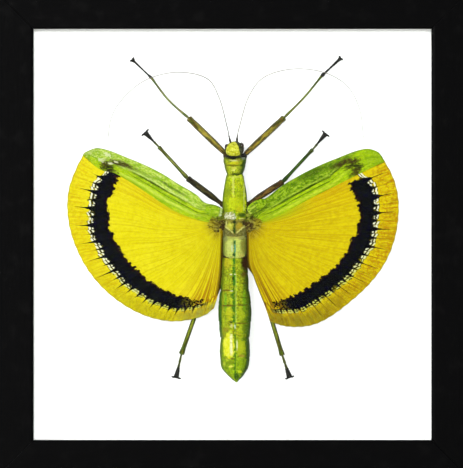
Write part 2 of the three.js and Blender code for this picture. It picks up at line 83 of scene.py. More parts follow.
# Half-width of each plate of the body at its front, its middle and its back.
PLATE_HALF_WIDTHS = {
    "prothorax": (4.0, 3.55, 2.55),
    "mesothorax": (3.1, 4.2, 4.25),
    "metathorax": (4.2, 4.3, 4.2),
    "median_segment": (4.2, 4.2, 4.1),
    "abdomen_2": (4.1, 4.3, 4.4),
    "abdomen_3": (4.4, 4.7, 4.8),
    "abdomen_4": (4.9, 5.3, 5.5),
    "abdomen_5": (5.5, 5.7, 5.5),
    "abdomen_6": (5.4, 5.3, 4.9),
    "abdomen_7": (4.8, 5.1, 5.1),
    "abdomen_8": (5.0, 4.85, 4.3),
    "abdomen_9": (4.05, 2.5, 0.4),
}
TIP_LEAN = 0.55
TUCK = 0.7  # how far the front of a plate runs under the plate ahead, in millimetres
REAR_OVER = 0.15  # how far its rear edge runs over the plate behind
PLATE_COLUMNS = 96
BOXINESS = 0.25
SOFT_SHARE = 0.86  # thickness of the soft skin between the plates, beside theirs
NECK_TOP = 24.4
NECK_HALF_WIDTH = 2.5

HEAD_MIDDLE = Vector((-0.1, BODY_Y - 0.1, 26.0))
HEAD_TURN = radians(-5)
HEAD_HALF = Vector((3.1, 2.3, 2.75))
EYE_AT = Vector((2.65, -0.25, 0.9))
EYE_RADIUS = 0.95
FEELER_AT = (1.15, -0.75, 2.1)  # of the right feeler, from the middle of the head as the eye's place is

FEELERS = {
    "left": (
        (-1.9, -0.3, 29.9), (-2.8, -0.4, 34.2), (-5.5, 0.2, 43.9), (-9.9, 0.7, 50.5),
        (-20.1, 0.9, 52.5), (-30.8, 1.0, 49.8), (-38.6, 1.6, 43.5), (-42.6, 2.3, 37.0),
        (-44.0, 3.2, 29.0),
    ),
    "right": (
        (0.8, -0.3, 29.8), (1.6, -0.4, 33.7), (4.75, 0.2, 43.9), (10.0, 0.7, 50.7),
        (19.7, 0.9, 53.6), (30.3, 0.9, 52.6), (38.6, 1.4, 48.0), (43.1, 2.0, 39.9),
        (44.5, 3.2, 29.7),
    ),
}

# Joints of the legs: hip, knee, ankle and the end of the foot.
LEGS = {
    "front_left": ((-3.7, 2.5, 24.8), (-16.0, 1.7, 36.7), (-28.8, 3.0, 50.5), (-35.2, 3.55, 56.6)),
    "front_right": ((3.8, 2.5, 24.4), (17.1, 1.7, 36.9), (30.1, 3.0, 51.3), (36.3, 3.55, 57.1)),
    "middle_left": ((-5.05, 1.9, 7.4), (-16.4, 1.7, 15.9), (-26.3, 3.0, 26.7), (-30.7, 3.55, 31.3)),
    "middle_right": ((5.3, 1.9, 7.4), (16.6, 1.7, 14.7), (26.9, 3.0, 25.8), (31.1, 3.55, 30.9)),
    "hind_left": ((-4.9, 2.6, -6.4), (-11.1, 3.1, -24.1), (-18.5, 3.4, -45.0), (-20.2, 3.55, -52.6)),
    "hind_right": ((4.9, 2.6, -6.4), (10.1, 3.1, -24.4), (16.4, 3.4, -45.4), (18.8, 3.55, -52.6)),
}
# How thick each foot is, and each pair of shins, beside the settings for their thickness.
TOE_SHARES = {
    "front_left": 1.05, "front_right": 1.35, "middle_left": 1.45, "middle_right": 1.45,
    "hind_left": 1.5, "hind_right": 1.65,
}
SHIN_SHARES = {"front": 0.9, "middle": 1.45, "hind": 1.9}
# From the outer end of each pair of hips to the inner end: outwards, back and ahead.
HIP_INWARDS = {"front": (-1.4, 0.1, -3.8), "middle": (-1.3, 0.3, -1.0), "hind": (-1.3, -0.1, 1.1)}
FRONT_SHIN_BOW = {"front_left": (-0.65, 0, -0.6), "front_right": (0.35, 0, -0.3)}

# Hind wings, in polar measures about each hinge: angles are turned outwards from straight ahead. The tip
# and the end of the fold that is tucked beside the body are distances from the hinge.
HINGE_OUT = 4.85
WING_Y_ROOT, WING_Y_SIDE, WING_Y_REAR = -1.2, 3.2, 1.8
WINGS = {
    "left": {
        "leading": (
            (5.9, 5), (8.6, 34), (13, 39.6), (19.5, 46.2), (26.3, 49.2), (38.6, 54.3), (50, 58.3),
            (53.4, 62.6),
        ),
        "border": ((3, 82), (14.3, 74.8), (28.6, 66.5), (40.3, 64.1), (45.5, 65.4), (53.4, 63.2)),
        "margin": (
            (63, 53.2), (80, 53.9), (103, 50.2), (127, 44.6), (151, 38.5), (163, 34.6), (172, 31.2),
            (180, 27),
        ),
        "inner": ((0, 179), (16, 179), (25.6, 177), (29, 175.4)),
        "band_outside": (
            (65, 44.7), (74, 43.9), (88, 43.7), (97, 43.3), (101, 41.7), (105, 41.3), (112, 39.6),
            (118.5, 38.4), (122.5, 38), (128, 36.6), (132.5, 35.8), (138, 35.2), (144.5, 33.9),
            (149.5, 33.3), (155, 32.2), (159, 30.9), (163, 29.6), (176, 25),
        ),
        "band_inside": (
            (65, 38.9), (72, 39), (75.5, 38.7), (78, 39.6), (83, 39.7), (87, 38.9), (92, 38.6), (95, 37.8),
            (99.5, 37), (102, 36), (107, 35.5), (111, 34.4), (119.5, 33), (124.5, 32.3), (131, 31.3),
            (141, 29.7), (148, 29), (156, 28), (163, 27.6), (176, 24),
        ),
        "tip": 53.4,
        "tuck": 26,
    },
    "right": {
        "leading": (
            (5.9, 5), (8, 22), (11, 34), (17, 40.5), (24.5, 46.3), (36.7, 52.7), (48, 57.2), (51.2, 61),
            (51.7, 64),
        ),
        "border": ((3, 82), (10.5, 72.8), (20.2, 67.8), (34, 65.8), (45.6, 65.2), (51.7, 65.2)),
        "margin": (
            (65, 51.8), (74, 52.6), (84, 52.2), (103, 49.6), (127, 44.3), (147, 41.4), (159, 37.8),
            (168, 34.4), (180, 30),
        ),
        "inner": ((0, 180), (13, 180), (18.4, 174.8), (27, 169.7), (34.3, 167.6)),
        "band_outside": (
            (65, 42.4), (70, 43.6), (77, 43.7), (87, 42.9), (95, 42.3), (99, 42), (104, 40.5), (112, 38.8),
            (118, 37.9), (124, 36.6), (131, 35.4), (142, 34.3), (149, 33.7), (155, 32.3), (163, 30.6),
            (168, 29),
        ),
        "band_inside": (
            (65, 37), (70, 37.4), (76, 38.1), (86, 38.6), (90, 37.8), (95, 37.3), (98, 36.1), (103, 35.7),
            (106, 34.9), (112, 34), (119, 32.6), (128, 30.8), (137, 29.9), (145, 29.3), (152, 28.5),
            (160, 28.2), (168, 27),
        ),
        "tip": 51.7,
        "tuck": 18,
    },
}
# Angle of a vein of the fan, by its number from the border of the strip.
VEIN_ANGLES = {
    "left": ((0, 65), (3, 76), (7, 91), (11, 106.6), (15, 122.5), (19, 140.3), (24, 162.5), (27, 176)),
    "right": ((0, 65), (3, 78), (7, 92.3), (11, 109), (15, 124.5), (19, 141.5), (24, 159), (27, 167.6)),
}
VEINS = 27
VEIN_SPACING = 0.072  # angle between two veins, in radians
TUCKED_VEINS = 1.0  # width of the fold that is tucked beside the body, in veins
COLUMNS_PER_VEIN = 8
FULL_PLEAT = 35  # distance from the hinge at which the pleats have their full height, in millimetres
FAN_OVER, STRIP_OVER = 0.4, 0.25  # how far the fan and the strip run past their border, in degrees
FAN_START = 0.7  # distance of the fan's inner end from the hinge, in millimetres
TUCKED_TO = (-1.7, 1.0, 0.4)  # where a vein's width of the tucked fold goes: outwards, back and ahead
SCALLOP = 0.07  # half the depth of the notches of the margin between the veins, in millimetres
COVER_THICKNESS = 0.14
EULER = 2.718
COVERS = {
    "left": ((-4.4, -2.4, 4.0), (-10.2, -1.5, 5.3)),
    "right": ((4.6, -2.4, 4.4), (10.7, -1.5, 7.9)),
}


def tint(red, green, blue):
    """A colour for a surface that the stage's lights show as this red, green and blue, 0 to 255."""
    def linear(value):
        share = value / 255
        return (share / 12.92 if share <= 0.04045 else ((share + 0.055) / 1.055) ** 2.4) / STAGE_LIGHT
    return linear(red), linear(green), linear(blue)


def scaled(colour, *factors):
    """A colour with its channels multiplied by one factor, or by one each, and none above full."""
    if len(factors) == 1:
        factors *= 3
    return [min(1, value * factor) for value, factor in zip(colour, factors)]


# ---- shader arithmetic


class Number:
    """A shader socket that holds one number, and takes Python arithmetic."""

    def __init__(self, finish, socket):
        self.finish = finish
        self.socket = socket

    def __add__(self, other):
        return self.finish.math("ADD", self, other)

    def __radd__(self, other):
        return self.finish.math("ADD", other, self)

    def __sub__(self, other):
        return self.finish.math("SUBTRACT", self, other)

    def __rsub__(self, other):
        return self.finish.math("SUBTRACT", other, self)

    def __mul__(self, other):
        return self.finish.math("MULTIPLY", self, other)

    def __rmul__(self, other):
        return self.finish.math("MULTIPLY", other, self)

    def __truediv__(self, other):
        return self.finish.math("DIVIDE", self, other)

    def __rtruediv__(self, other):
        return self.finish.math("DIVIDE", other, self)

    def __pow__(self, other):
        return self.finish.math("POWER", self, other)

    def __rpow__(self, other):
        return self.finish.math("POWER", other, self)

    def __neg__(self):
        return self.finish.math("MULTIPLY", self, -1)

    def __abs__(self):
        return self.finish.math("ABSOLUTE", self)

    def floor(self):
        return self.finish.math("FLOOR", self)

    def at_least(self, other):
        return self.finish.math("MAXIMUM", self, other)

    def at_most(self, other):
        return self.finish.math("MINIMUM", self, other)

    def rising(self, low, high):
        """0 below low, 1 above high and smooth between them. With low above high it falls instead."""
        inputs = {"Value": self, "From Min": low, "From Max": high}
        return self.finish.number("ShaderNodeMapRange", {"interpolation_type": "SMOOTHSTEP"}, inputs)

    def near(self, middle, reach):
        """1 at middle, falling smoothly to 0 at reach on either side of it."""
        return abs(self - middle).rising(reach, 0)

    def from_nearest(self):
        """Distance to the nearest whole number, at most one half."""
        return abs(self - (self + 0.5).floor())


class Finish:
    """One material in the making: its Principled shader and the nodes that feed it."""

    def __init__(self, name, shine=0.5, **fixed):
        self.material = bpy.data.materials.new(name)
        self.material.use_nodes = True
        self.tree = self.material.node_tree
        self.tree.nodes.clear()
        self.shader = self.tree.nodes.new("ShaderNodeBsdfPrincipled")
        self.output = self.tree.nodes.new("ShaderNodeOutputMaterial")
        self.tree.links.new(self.shader.outputs[0], self.output.inputs["Surface"])
        self.shader.inputs["Specular IOR Level"].default_value = shine
        for words, value in fixed.items():
            self.shader.inputs[words.replace("_", " ").title()].default_value = value

    def give(self, socket, value):
        """Sets a socket to a value, or links it to another."""
        if isinstance(value, Number):
            value = value.socket
        if isinstance(value, bpy.types.NodeSocket):
            self.tree.links.new(value, socket)
        elif socket.type == "RGBA" and len(value) == 3:
            socket.default_value = (*value, 1)
        else:
            socket.default_value = value

    def node(self, kind, settings=None, inputs=None, output=0):
        """Adds a node, with its settings first, and returns one of its outputs."""
        made = self.tree.nodes.new(kind)
        for name, value in (settings or {}).items():
            setattr(made, name, value)
        for key, value in (inputs or {}).items():
            self.give(made.inputs[key], value)
        return made.outputs[output]

    def number(self, kind, settings=None, inputs=None, output=0):
        return Number(self, self.node(kind, settings, inputs, output))

    def math(self, operation, *terms):
        return self.number("ShaderNodeMath", {"operation": operation}, dict(enumerate(terms)))

    def mix(self, share, first, second):
        """The first colour where share is 0 and the second where it is 1."""
        inputs = {0: share, 6: first, 7: second}
        return self.node("ShaderNodeMix", {"data_type": "RGBA", "clamp_factor": True}, inputs, 2)

    def layers(self, base, *coats):
        """A base colour with coats of (share, colour) laid over it in order."""
        for share, colour in coats:
            base = self.mix(share, base, colour)
        return base

    def pattern(self):
        """The two numbers of the piece's own UV map."""
        uv = self.node("ShaderNodeUVMap", {"uv_map": "pattern"})
        return self.parts(uv)[:2]

    def place(self, centre=(0, 0, 0), stretch=(1, 1, 1)):
        """Place on the object in millimetres from centre, with each axis multiplied by its stretch."""
        scale = [1000 * factor for factor in stretch]
        shift = [-at * factor for at, factor in zip(centre, stretch)]
        coordinates = self.node("ShaderNodeTexCoord", output=3)
        return self.node("ShaderNodeMapping", None, {0: coordinates, 1: shift, 3: scale})

    def in_plane(self, middle_x=0.0, middle_z=0.0):
        """Place on the object from a point of the insect's own frame: across, and towards the head."""
        x, _, z = self.parts(self.place(centre=(INSECT_X + middle_x, 0, HINGE_HEIGHT + middle_z)))
        return x, z

    def parts(self, vector):
        made = self.node("ShaderNodeSeparateXYZ", None, {0: vector}).node
        return [Number(self, socket) for socket in made.outputs]

    def vector(self, x=0.0, y=0.0, z=0.0):
        return self.node("ShaderNodeCombineXYZ", None, {0: x, 1: y, 2: z})

    def noise(self, vector, scale=1.0, detail=2.0, distortion=0.0):
        inputs = {"Vector": vector, "Scale": scale, "Detail": detail, "Distortion": distortion}
        return self.number("ShaderNodeTexNoise", None, inputs)

    def grain(self, scale, detail, distortion=0.0, stretch=(1, 1, 1)):
        """Noise by the place on the object, in millimetres."""
        return self.noise(self.place(stretch=stretch), scale, detail, distortion)

    def cells(self, vector, scale=1.0, feature="F1", randomness=1.0):
        inputs = {"Vector": vector, "Scale": scale, "Randomness": randomness}
        return self.number("ShaderNodeTexVoronoi", {"feature": feature}, inputs)

    def chance(self, value):
        """A random number from 0 to 1 for each whole number."""
        return self.number("ShaderNodeTexWhiteNoise", {"noise_dimensions": "1D"}, {"W": value})

    def surface(self, colour, roughness, height=None, depth=0.0):
        """Feeds the shader. The height, times the depth in millimetres, stands up from the surface."""
        self.give(self.shader.inputs["Base Color"], colour)
        self.give(self.shader.inputs["Roughness"], roughness)
        if height is not None:
            bump = self.node("ShaderNodeBump", None, {"Height": height, "Distance": depth * MM})
            self.give(self.shader.inputs["Normal"], bump)
        return self.material


# ---- shaping


def through(rows):
    """A smooth function through (input, output) rows, level beyond the first and the last."""
    def value(at):
        at = min(max(at, rows[0][0]), rows[-1][0])
        k = next(i for i in range(len(rows) - 1) if at <= rows[i + 1][0])
        (x1, y1), (x2, y2) = rows[k], rows[k + 1]
        slopes = []
        for i in (k, k + 1):
            before, after = rows[max(i - 1, 0)], rows[min(i + 1, len(rows) - 1)]
            slopes.append((after[1] - before[1]) / (after[0] - before[0]))
        span = x2 - x1
        t = (at - x1) / span
        rest = 1 - t
        ends = y1 * (1 + 2 * t) * rest * rest + y2 * (3 - 2 * t) * t * t
        return ends + span * t * rest * (slopes[0] * rest - slopes[1] * t)
    return value


def between(first, last, share):
    return first + (last - first) * share


def smooth(value, low, high):
    """0 below low, 1 above high and smooth between them."""
    share = min(max((value - low) / (high - low), 0), 1)
    return share * share * (3 - 2 * share)


def hump(value, middle, width):
    """1 at middle, falling away like a bell on both sides."""
    return exp(-(((value - middle) / width) ** 2))


def on_insect(point):
    """A place in the insect's own frame, in millimetres, as a place in the scene."""
    return Vector((point[0] + INSECT_X, point[1], point[2] + HINGE_HEIGHT)) * MM


def loft(columns, rows, place, pattern=None):
    """A grid whose point (u, v), each from 0 to 1, lies at place(u, v). Its seams and poles are closed,
    and its UV map holds pattern(u, v)."""
    bm = bmesh.new()
    bmesh.ops.create_grid(bm, x_segments=columns, y_segments=rows, size=0.5)
    layer = bm.loops.layers.uv.new("pattern")
    for face in bm.faces:
        for loop in face.loops:
            u, v = loop.vert.co.x + 0.5, loop.vert.co.y + 0.5
            loop[layer].uv = pattern(u, v) if pattern else (u, v)
    for vert in bm.verts:
        vert.co = on_insect(place(vert.co.x + 0.5, vert.co.y + 0.5))
    bmesh.ops.remove_doubles(bm, verts=bm.verts, dist=1e-7)
    bmesh.ops.dissolve_degenerate(bm, edges=bm.edges, dist=1e-8)
    return bm


def add(name, data):
    """Puts a new object that shows the data in the scene."""
    made = bpy.data.objects.new(name, data)
    bpy.context.scene.collection.objects.link(made)
    return made


def settle(bm, name, material, nodes=(), closed=True):
    """Makes an object of a bmesh, gives it its material and lets it ride with the case."""
    if closed:
        bmesh.ops.recalc_face_normals(bm, faces=bm.faces)
    mesh = bpy.data.meshes.new(name)
    bm.to_mesh(mesh)
    bm.free()
    mesh.shade_smooth()
    mesh.materials.append(material)
    piece = add(name, mesh)
    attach(piece, "root")
    if nodes:
        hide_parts(*nodes)
    return piece


def crisp(piece):
    """Keeps the sharp edges of a piece crisp, and its large faces flat beside their rounded edges."""
    piece.data.set_sharp_from_angle(angle=radians(CREASE))
    piece.modifiers.new("flat_faces", "WEIGHTED_NORMAL").keep_sharp = True


def thicken(piece, thickness):
    """Gives a sheet a real thickness, in millimetres, half to each side."""
    solid = piece.modifiers.new("thickness", "SOLIDIFY")
    solid.thickness = thickness * MM
    solid.offset = 0


class Route:
    """A smooth path through points, measured by the share of its length."""

    def __init__(self, points, steps=24):
        knots = [Vector(point) for point in points]
        knots = [2 * knots[0] - knots[1], *knots, 2 * knots[-1] - knots[-2]]
        self.samples = []
        for before, start, end, after in zip(knots, knots[1:], knots[2:], knots[3:]):
            for step in range(steps):
                t = step / steps
                bend = (2 * before - 5 * start + 4 * end - after) * t * t
                turn = (3 * start - before - 3 * end + after) * t ** 3
                self.samples.append((2 * start + (end - before) * t + bend + turn) / 2)
        self.samples.append(knots[-2])
        self.marks = [0.0]
        for here, there in zip(self.samples, self.samples[1:]):
            self.marks.append(self.marks[-1] + (there - here).length)
        self.length = self.marks[-1]

    def at(self, share):
        """The place on the path, and three directions: along it, across it and out towards the glass."""
        mark = min(max(share, 0), 1) * self.length
        k = next(i for i in range(len(self.marks) - 1) if mark <= self.marks[i + 1] + 1e-9)
        here, there = self.samples[k], self.samples[k + 1]
        inside = (mark - self.marks[k]) / (self.marks[k + 1] - self.marks[k])
        along = (there - here).normalized()
        across = along.cross(Vector((0, 1, 0))).normalized()
        out = along.cross(across).normalized()
        if out.y > 0:
            out.negate()
        return here.lerp(there, inside), along, across, out


def on_ring(turn, radius):
    """The point at a turn of a round section, where one half is at its outer line."""
    angle = 2 * pi * (turn - 0.5)
    return sin(angle) * radius, cos(angle) * radius


def tube(path, columns, rows, section):
    """A closed tube along a path. section(turn, share) gives how far a point lies across and out; turn
    runs from 0 to 1 round the tube and is one half at its outer line."""
    def place(u, v):
        step = v * rows - 1
        share = min(max(step / (rows - 2), 0), 1)
        middle, along, across, out = path.at(share)
        if step < -0.5 or step > rows - 1.5:
            return middle
        aside, outwards = section(u, share)
        return middle + across * aside + out * outwards
    return loft(columns, rows, place)


def direction(turn, rise):
    """The way that is turned from straight ahead of the glass to the right, and up."""
    return Vector((sin(turn) * cos(rise), -cos(turn) * cos(rise), sin(rise)))


def lump(at, half, turned, columns, rows, relief=None):
    """A rounded closed form about a point, with its own half-sizes. relief(unit) is how much it stands
    out in a direction from the point, as a share of its size."""
    def place(u, v):
        unit = direction(2 * pi * u, pi * (v - 0.5))
        swell = 1 + relief(unit) if relief else 1
        local = Vector([unit[k] * half[k] * swell for k in range(3)])
        if turned:
            local = turned @ local
        return Vector(at) + local
    return loft(columns, rows, place)


def merge(*parts):
    """Several bmeshes as one."""
    whole = parts[0]
    for part in parts[1:]:
        loose = bpy.data.meshes.new("part")
        part.to_mesh(loose)
        part.free()
        whole.from_mesh(loose)
        bpy.data.meshes.remove(loose)
    return whole


# ---- settings


def colour_setting(name, description, default):
    limits = {"size": 3, "subtype": "COLOR", "min": 0, "max": 1}
    return bpy.props.FloatVectorProperty(name=name, description=description, default=default, **limits)


def length_setting(name, description, default):
    options = {"min": 0, "precision": 3}
    return bpy.props.FloatProperty(name=name, description=description, default=default, **options)


class CaseSettings(bpy.types.PropertyGroup):
    paint: colour_setting("Frame paint", "Colour of the satin paint on the rails", (0.0009, 0.0009, 0.001))
    board: colour_setting("Mount board", "Colour of the paper board behind the insect", (0.9, 0.9, 0.895))
    hardboard: colour_setting("Backing", "Colour of the hardboard that closes the back", tint(128, 92, 60))
    edge_round: length_setting("Edge rounding", "Radius of the rails' front edges, in millimetres", 1.2)
    mitre_round: length_setting("Mitre rounding", "Bevel along each mitre, in millimetres", 0.15)


class BodySettings(bpy.types.PropertyGroup):
    back: colour_setting("Back", "Colour along the back of the abdomen", tint(174, 190, 22))
    thorax: colour_setting("Thorax", "Colour of the long plate of the thorax", tint(188, 208, 16))
    collar: colour_setting("Collar", "Colour of the plate behind the head", tint(176, 190, 32))
    pale: colour_setting("Pale plates", "Colour of the plate behind the wings", tint(190, 200, 90))
    # The dark colour of the body's sides is partly the body's own and partly painted shade, mostly on the
    # right.
    flank_and_shade: colour_setting("Flanks", "Colour down the sides of the body", tint(42, 68, 8))
    end: colour_setting("End", "Colour of the last plates of the abdomen", tint(158, 192, 18))
    crown: colour_setting("Crown", "Colour of the granular top of the head", tint(224, 226, 44))
    eye: colour_setting("Eyes", "Colour of the eyes", tint(38, 24, 16))
    feeler_base: length_setting("Feeler base", "Thickness of a feeler near the head, in millimetres", 0.3)
    feeler_tip: length_setting("Feeler tip", "Thickness of a feeler at its tip, in millimetres", 0.2)


class WingSettings(bpy.types.PropertyGroup):
    left_yellow: colour_setting("Left fan", "Yellow of the left fan", tint(237, 224, 20))
    # the right fan's yellow is darker than the left's as painted shade: the light comes from the left and
    # that fan faces away from it
    right_yellow: colour_setting("Right fan", "Yellow of the right fan", tint(226, 206, 12))
    band: colour_setting("Band", "Colour of the dark band across the fans", tint(4, 4, 6))
    cells: colour_setting("Cells", "Colour of the small pale cells outside the band", tint(248, 248, 214))
    pleat: length_setting("Pleats", "Rise and fall of the fans' folds, in millimetres", 0.13)
    membrane: length_setting("Membrane", "Thickness of the wings, in millimetres", 0.06)


class LegSettings(bpy.types.PropertyGroup):
    foot: colour_setting("Feet", "Colour of the feet and claws", tint(26, 26, 22))
    thigh: length_setting("Thighs", "Half-thickness of the thighs, in millimetres", 1.14)
    shin: length_setting("Shins", "Half-thickness of the shins, in millimetres", 0.52)
    toe: length_setting("Feet thickness", "Half-thickness of the feet, in millimetres", 0.27)


class StageSettings(bpy.types.PropertyGroup):
    distance: bpy.props.FloatProperty(
        name="Camera distance", description="Distance of the camera from the insect", default=6.0,
        min=0.5, unit="LENGTH",
    )
    key: bpy.props.FloatProperty(
        name="Key light", description="Share of full white that the main light gives the board",
        default=0.45, min=0, max=3,
    )
    front: bpy.props.FloatProperty(
        name="Front light", description="Share of full white that the light by the camera gives the board",
        default=0.85, min=0, max=3,
    )
    sky: bpy.props.FloatProperty(
        name="Room light", description="Brightness of the room all round", default=0.35, min=0, max=3,
    )
    floor: colour_setting("Floor", "Colour of the floor", (0.78, 0.78, 0.76))


# ---- finishes of the case


def painted_wood(name, colour, along):
    """Satin paint through which the grain of the wood shows a little."""
    paint = Finish(name, 0.055)
    stretch = [0.06 if axis == along else 1 for axis in "xyz"]
    grain = paint.grain(2.4, 4, 0.3, stretch)
    orange_peel = paint.grain(1.6, 2)
    dust = paint.grain(0.21, 3).rising(0.52, 0.8)
    worn = paint.mix(dust * 0.08 + grain * 0.04, colour, tint(34, 33, 32))
    return paint.surface(worn, 0.27 + 0.12 * dust + 0.06 * grain, grain * 0.6 + orange_peel * 0.4, 0.05)


def white_paper(colour, name="white_paper"):
    """Smooth mount board with the faint tooth of paper."""
    paper = Finish(name, 0.2)
    tooth = paper.grain(5, 5)
    cloud = paper.grain(0.05, 2)
    shade = paper.mix(cloud * 0.25, colour, scaled(colour, 0.97))
    return paper.surface(shade, 0.8 + tooth * 0.15, tooth, 0.02)


def hardboard(colour):
    """Pressed wood fibre, smooth but mottled."""
    board = Finish("hardboard", 0.3)
    fibres = board.grain(3.2, 6, 1.2, stretch=(1, 1, 0.35))
    flecks = board.cells(board.place(stretch=(1, 1, 0.4)), 0.8).rising(0.16, 0.02)
    cloud = board.grain(0.06, 3)
    dark = scaled(colour, 0.55)
    light = scaled(colour, 1.5)
    coats = [(fibres.rising(0.35, 0.75), dark), (cloud * 0.5, light), (flecks * 0.5, light)]
    shade = board.layers(colour, *coats)
    return board.surface(shade, 0.6 + fibres * 0.3, fibres - flecks * 0.3, 0.08)


def zinc():
    """Zinc-plated steel with a fine rolled grain."""
    metal = Finish("zinc", metallic=1.0)
    rolled = metal.grain(9, 3, stretch=(0.08, 1, 1))
    spangle = metal.cells(metal.place(), 0.7)
    shade = metal.mix(spangle, tint(176, 178, 180), tint(206, 206, 202))
    return metal.surface(shade, 0.3 + rolled * 0.22, rolled, 0.02)


def grey_rubber():
    rubber = Finish("rubber", 0.3)
    grain = rubber.grain(7, 4)
    return rubber.surface(rubber.mix(grain, tint(46, 46, 47), tint(66, 66, 66)), 0.8, grain, 0.03)


def clear_glass():
    """A thin pane with a soft coat: the room shows in it only faintly."""
    glass = Finish("clear_glass")
    fresnel = glass.number("ShaderNodeFresnel", None, {"IOR": 1.14})
    clear = glass.node("ShaderNodeBsdfTransparent", None, {"Color": (0.995, 1.0, 0.997, 1)})
    gloss = glass.node("ShaderNodeBsdfGlossy", None, {"Roughness": 0.02})
    mixed = glass.node("ShaderNodeMixShader", None, {0: fresnel, 1: clear, 2: gloss})
    glass.tree.links.new(mixed, glass.output.inputs["Surface"])
    glass.tree.nodes.remove(glass.shader)
    return glass.material


# ---- pieces of the case

RAIL_FACE = 15.0
RAIL_DEPTH = 30.0
LIP_DEPTH = 3.0
REBATE = 6.0
SPARE = 30.0  # how much longer than needed a rail is before its mitres are cut
NAIL_IN = 3.0  # from an end of the hanging strip to the middle of its nail
NAIL_LEVEL = 0.62  # share of the strip's height at which it is nailed
NAIL_HEAD, RIVET_HEAD = (1.5, 0.7), (1.7, 0.6)  # radius and height
RIVET_IN = 4.0  # from the outer edge of a tab to the middle of its rivet


def put(bm, matrix):
    bmesh.ops.transform(bm, matrix=matrix, verts=bm.verts)


def rail_shape(opening_length, edge_round, mitre_round):
    """A rail along x whose sight edge is at z = 0 and whose front is at y = 0, in millimetres."""
    section = [
        (0, 0), (0, RAIL_FACE), (RAIL_DEPTH, RAIL_FACE), (RAIL_DEPTH, REBATE), (LIP_DEPTH, REBATE),
        (LIP_DEPTH, 0),
    ]
    bm = bmesh.new()
    half = opening_length / 2 + SPARE
    start = bm.faces.new([bm.verts.new((-half, y, z)) for y, z in section])
    grown = bmesh.ops.extrude_face_region(bm, geom=[start])["geom"]
    ends = [item for item in grown if isinstance(item, bmesh.types.BMVert)]
    bmesh.ops.translate(bm, vec=(2 * half, 0, 0), verts=ends)
    bmesh.ops.recalc_face_normals(bm, faces=bm.faces)
    lengthwise = [edge for edge in bm.edges if abs(edge.verts[0].co.x - edge.verts[1].co.x) > half]
    front = [edge for edge in lengthwise if edge.verts[0].co.y < 0.01]
    others = [edge for edge in lengthwise if edge not in front]
    bevel = {"affect": "EDGES", "profile": 0.5, "material": -1}
    bmesh.ops.bevel(bm, geom=front, offset=edge_round, segments=5, **bevel)
    others = [edge for edge in others if edge.is_valid]
    bmesh.ops.bevel(bm, geom=others, offset=0.25, segments=2, **bevel)
    for side in (-1, 1):
        corner = Vector((side * opening_length / 2, 0, 0))
        geometry = [*bm.verts, *bm.edges, *bm.faces]
        outwards = Vector((side, 0, -1)).normalized()
        cut = bmesh.ops.bisect_plane(
            bm, geom=geometry, plane_co=corner, plane_no=outwards, clear_outer=True, dist=1e-5,
        )
        rim = [item for item in cut["geom_cut"] if isinstance(item, bmesh.types.BMEdge)]
        face = bmesh.ops.holes_fill(bm, edges=rim, sides=0)["faces"]
        bmesh.ops.bevel(bm, geom=list(face[0].edges), offset=mitre_round, segments=2, **bevel)
    return bm


class SPECIMEN_OT_rails(bpy.types.Operator):
    """Make the four mitred rails of the box frame"""

    bl_idname = "specimen.rails"
    bl_label = "Rails"

    def execute(self, context):
        case = context.scene.specimen_case
        low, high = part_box("rail_top")
        wide = (high.x - low.x) / MM - 2 * RAIL_FACE
        sight_top = low.z / MM
        tall = sight_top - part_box("rail_bottom")[1].z / MM
        middle = Vector((0, low.y, (sight_top - tall / 2) * MM))
        for quarter, side in enumerate(("top", "right", "bottom", "left")):
            length, away = (wide, tall) if quarter % 2 == 0 else (tall, wide)
            bm = rail_shape(length, case.edge_round, case.mitre_round)
            put(bm, Matrix.Translation((0, 0, away / 2)))
            put(bm, Matrix.Rotation(quarter * pi / 2, 4, "Y"))
            put(bm, Matrix.Translation(middle) @ Matrix.Scale(MM, 4))
            paint = painted_wood(f"paint_{side}", case.paint, "x" if quarter % 2 == 0 else "z")
            crisp(settle(bm, f"moulding_{side}", paint, [f"rail_{side}"]))
        return {"FINISHED"}


def sheet(node, name, material, edge):
    """A flat board or pane the size of its node, with its edges broken."""
    low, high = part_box(node)
    bm = bmesh.new()
    bmesh.ops.create_cube(bm, size=1)
    size = Matrix.Diagonal((*(high - low), 1))
    put(bm, Matrix.Translation((low + high) / 2) @ size)
    bmesh.ops.bevel(
        bm, geom=bm.edges[:], offset=edge * MM, segments=2, profile=0.5, affect="EDGES", material=-1,
    )
    crisp(settle(bm, name, material, [node]))


def dress(node, material):
    """Gives a node of the frame its finish."""
    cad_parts[node].material_slots[0].material = material


class SPECIMEN_OT_boards(bpy.types.Operator):
    """Make the glass, the mount board, the backing board and the spacers"""

    bl_idname = "specimen.boards"
    bl_label = "Glass and boards"

    def execute(self, context):
        case = context.scene.specimen_case
        sheet("glass", "pane", clear_glass(), 0.3)
        sheet("mount_board", "paper_board", white_paper(case.board), 0.12)
        sheet("backing_board", "back_board", hardboard(case.hardboard), 0.3)
        paper = white_paper(case.board, "spacer_paper")
        for side in ("top", "right", "bottom", "left"):
            dress(f"spacer_{side}", paper)
        return {"FINISHED"}


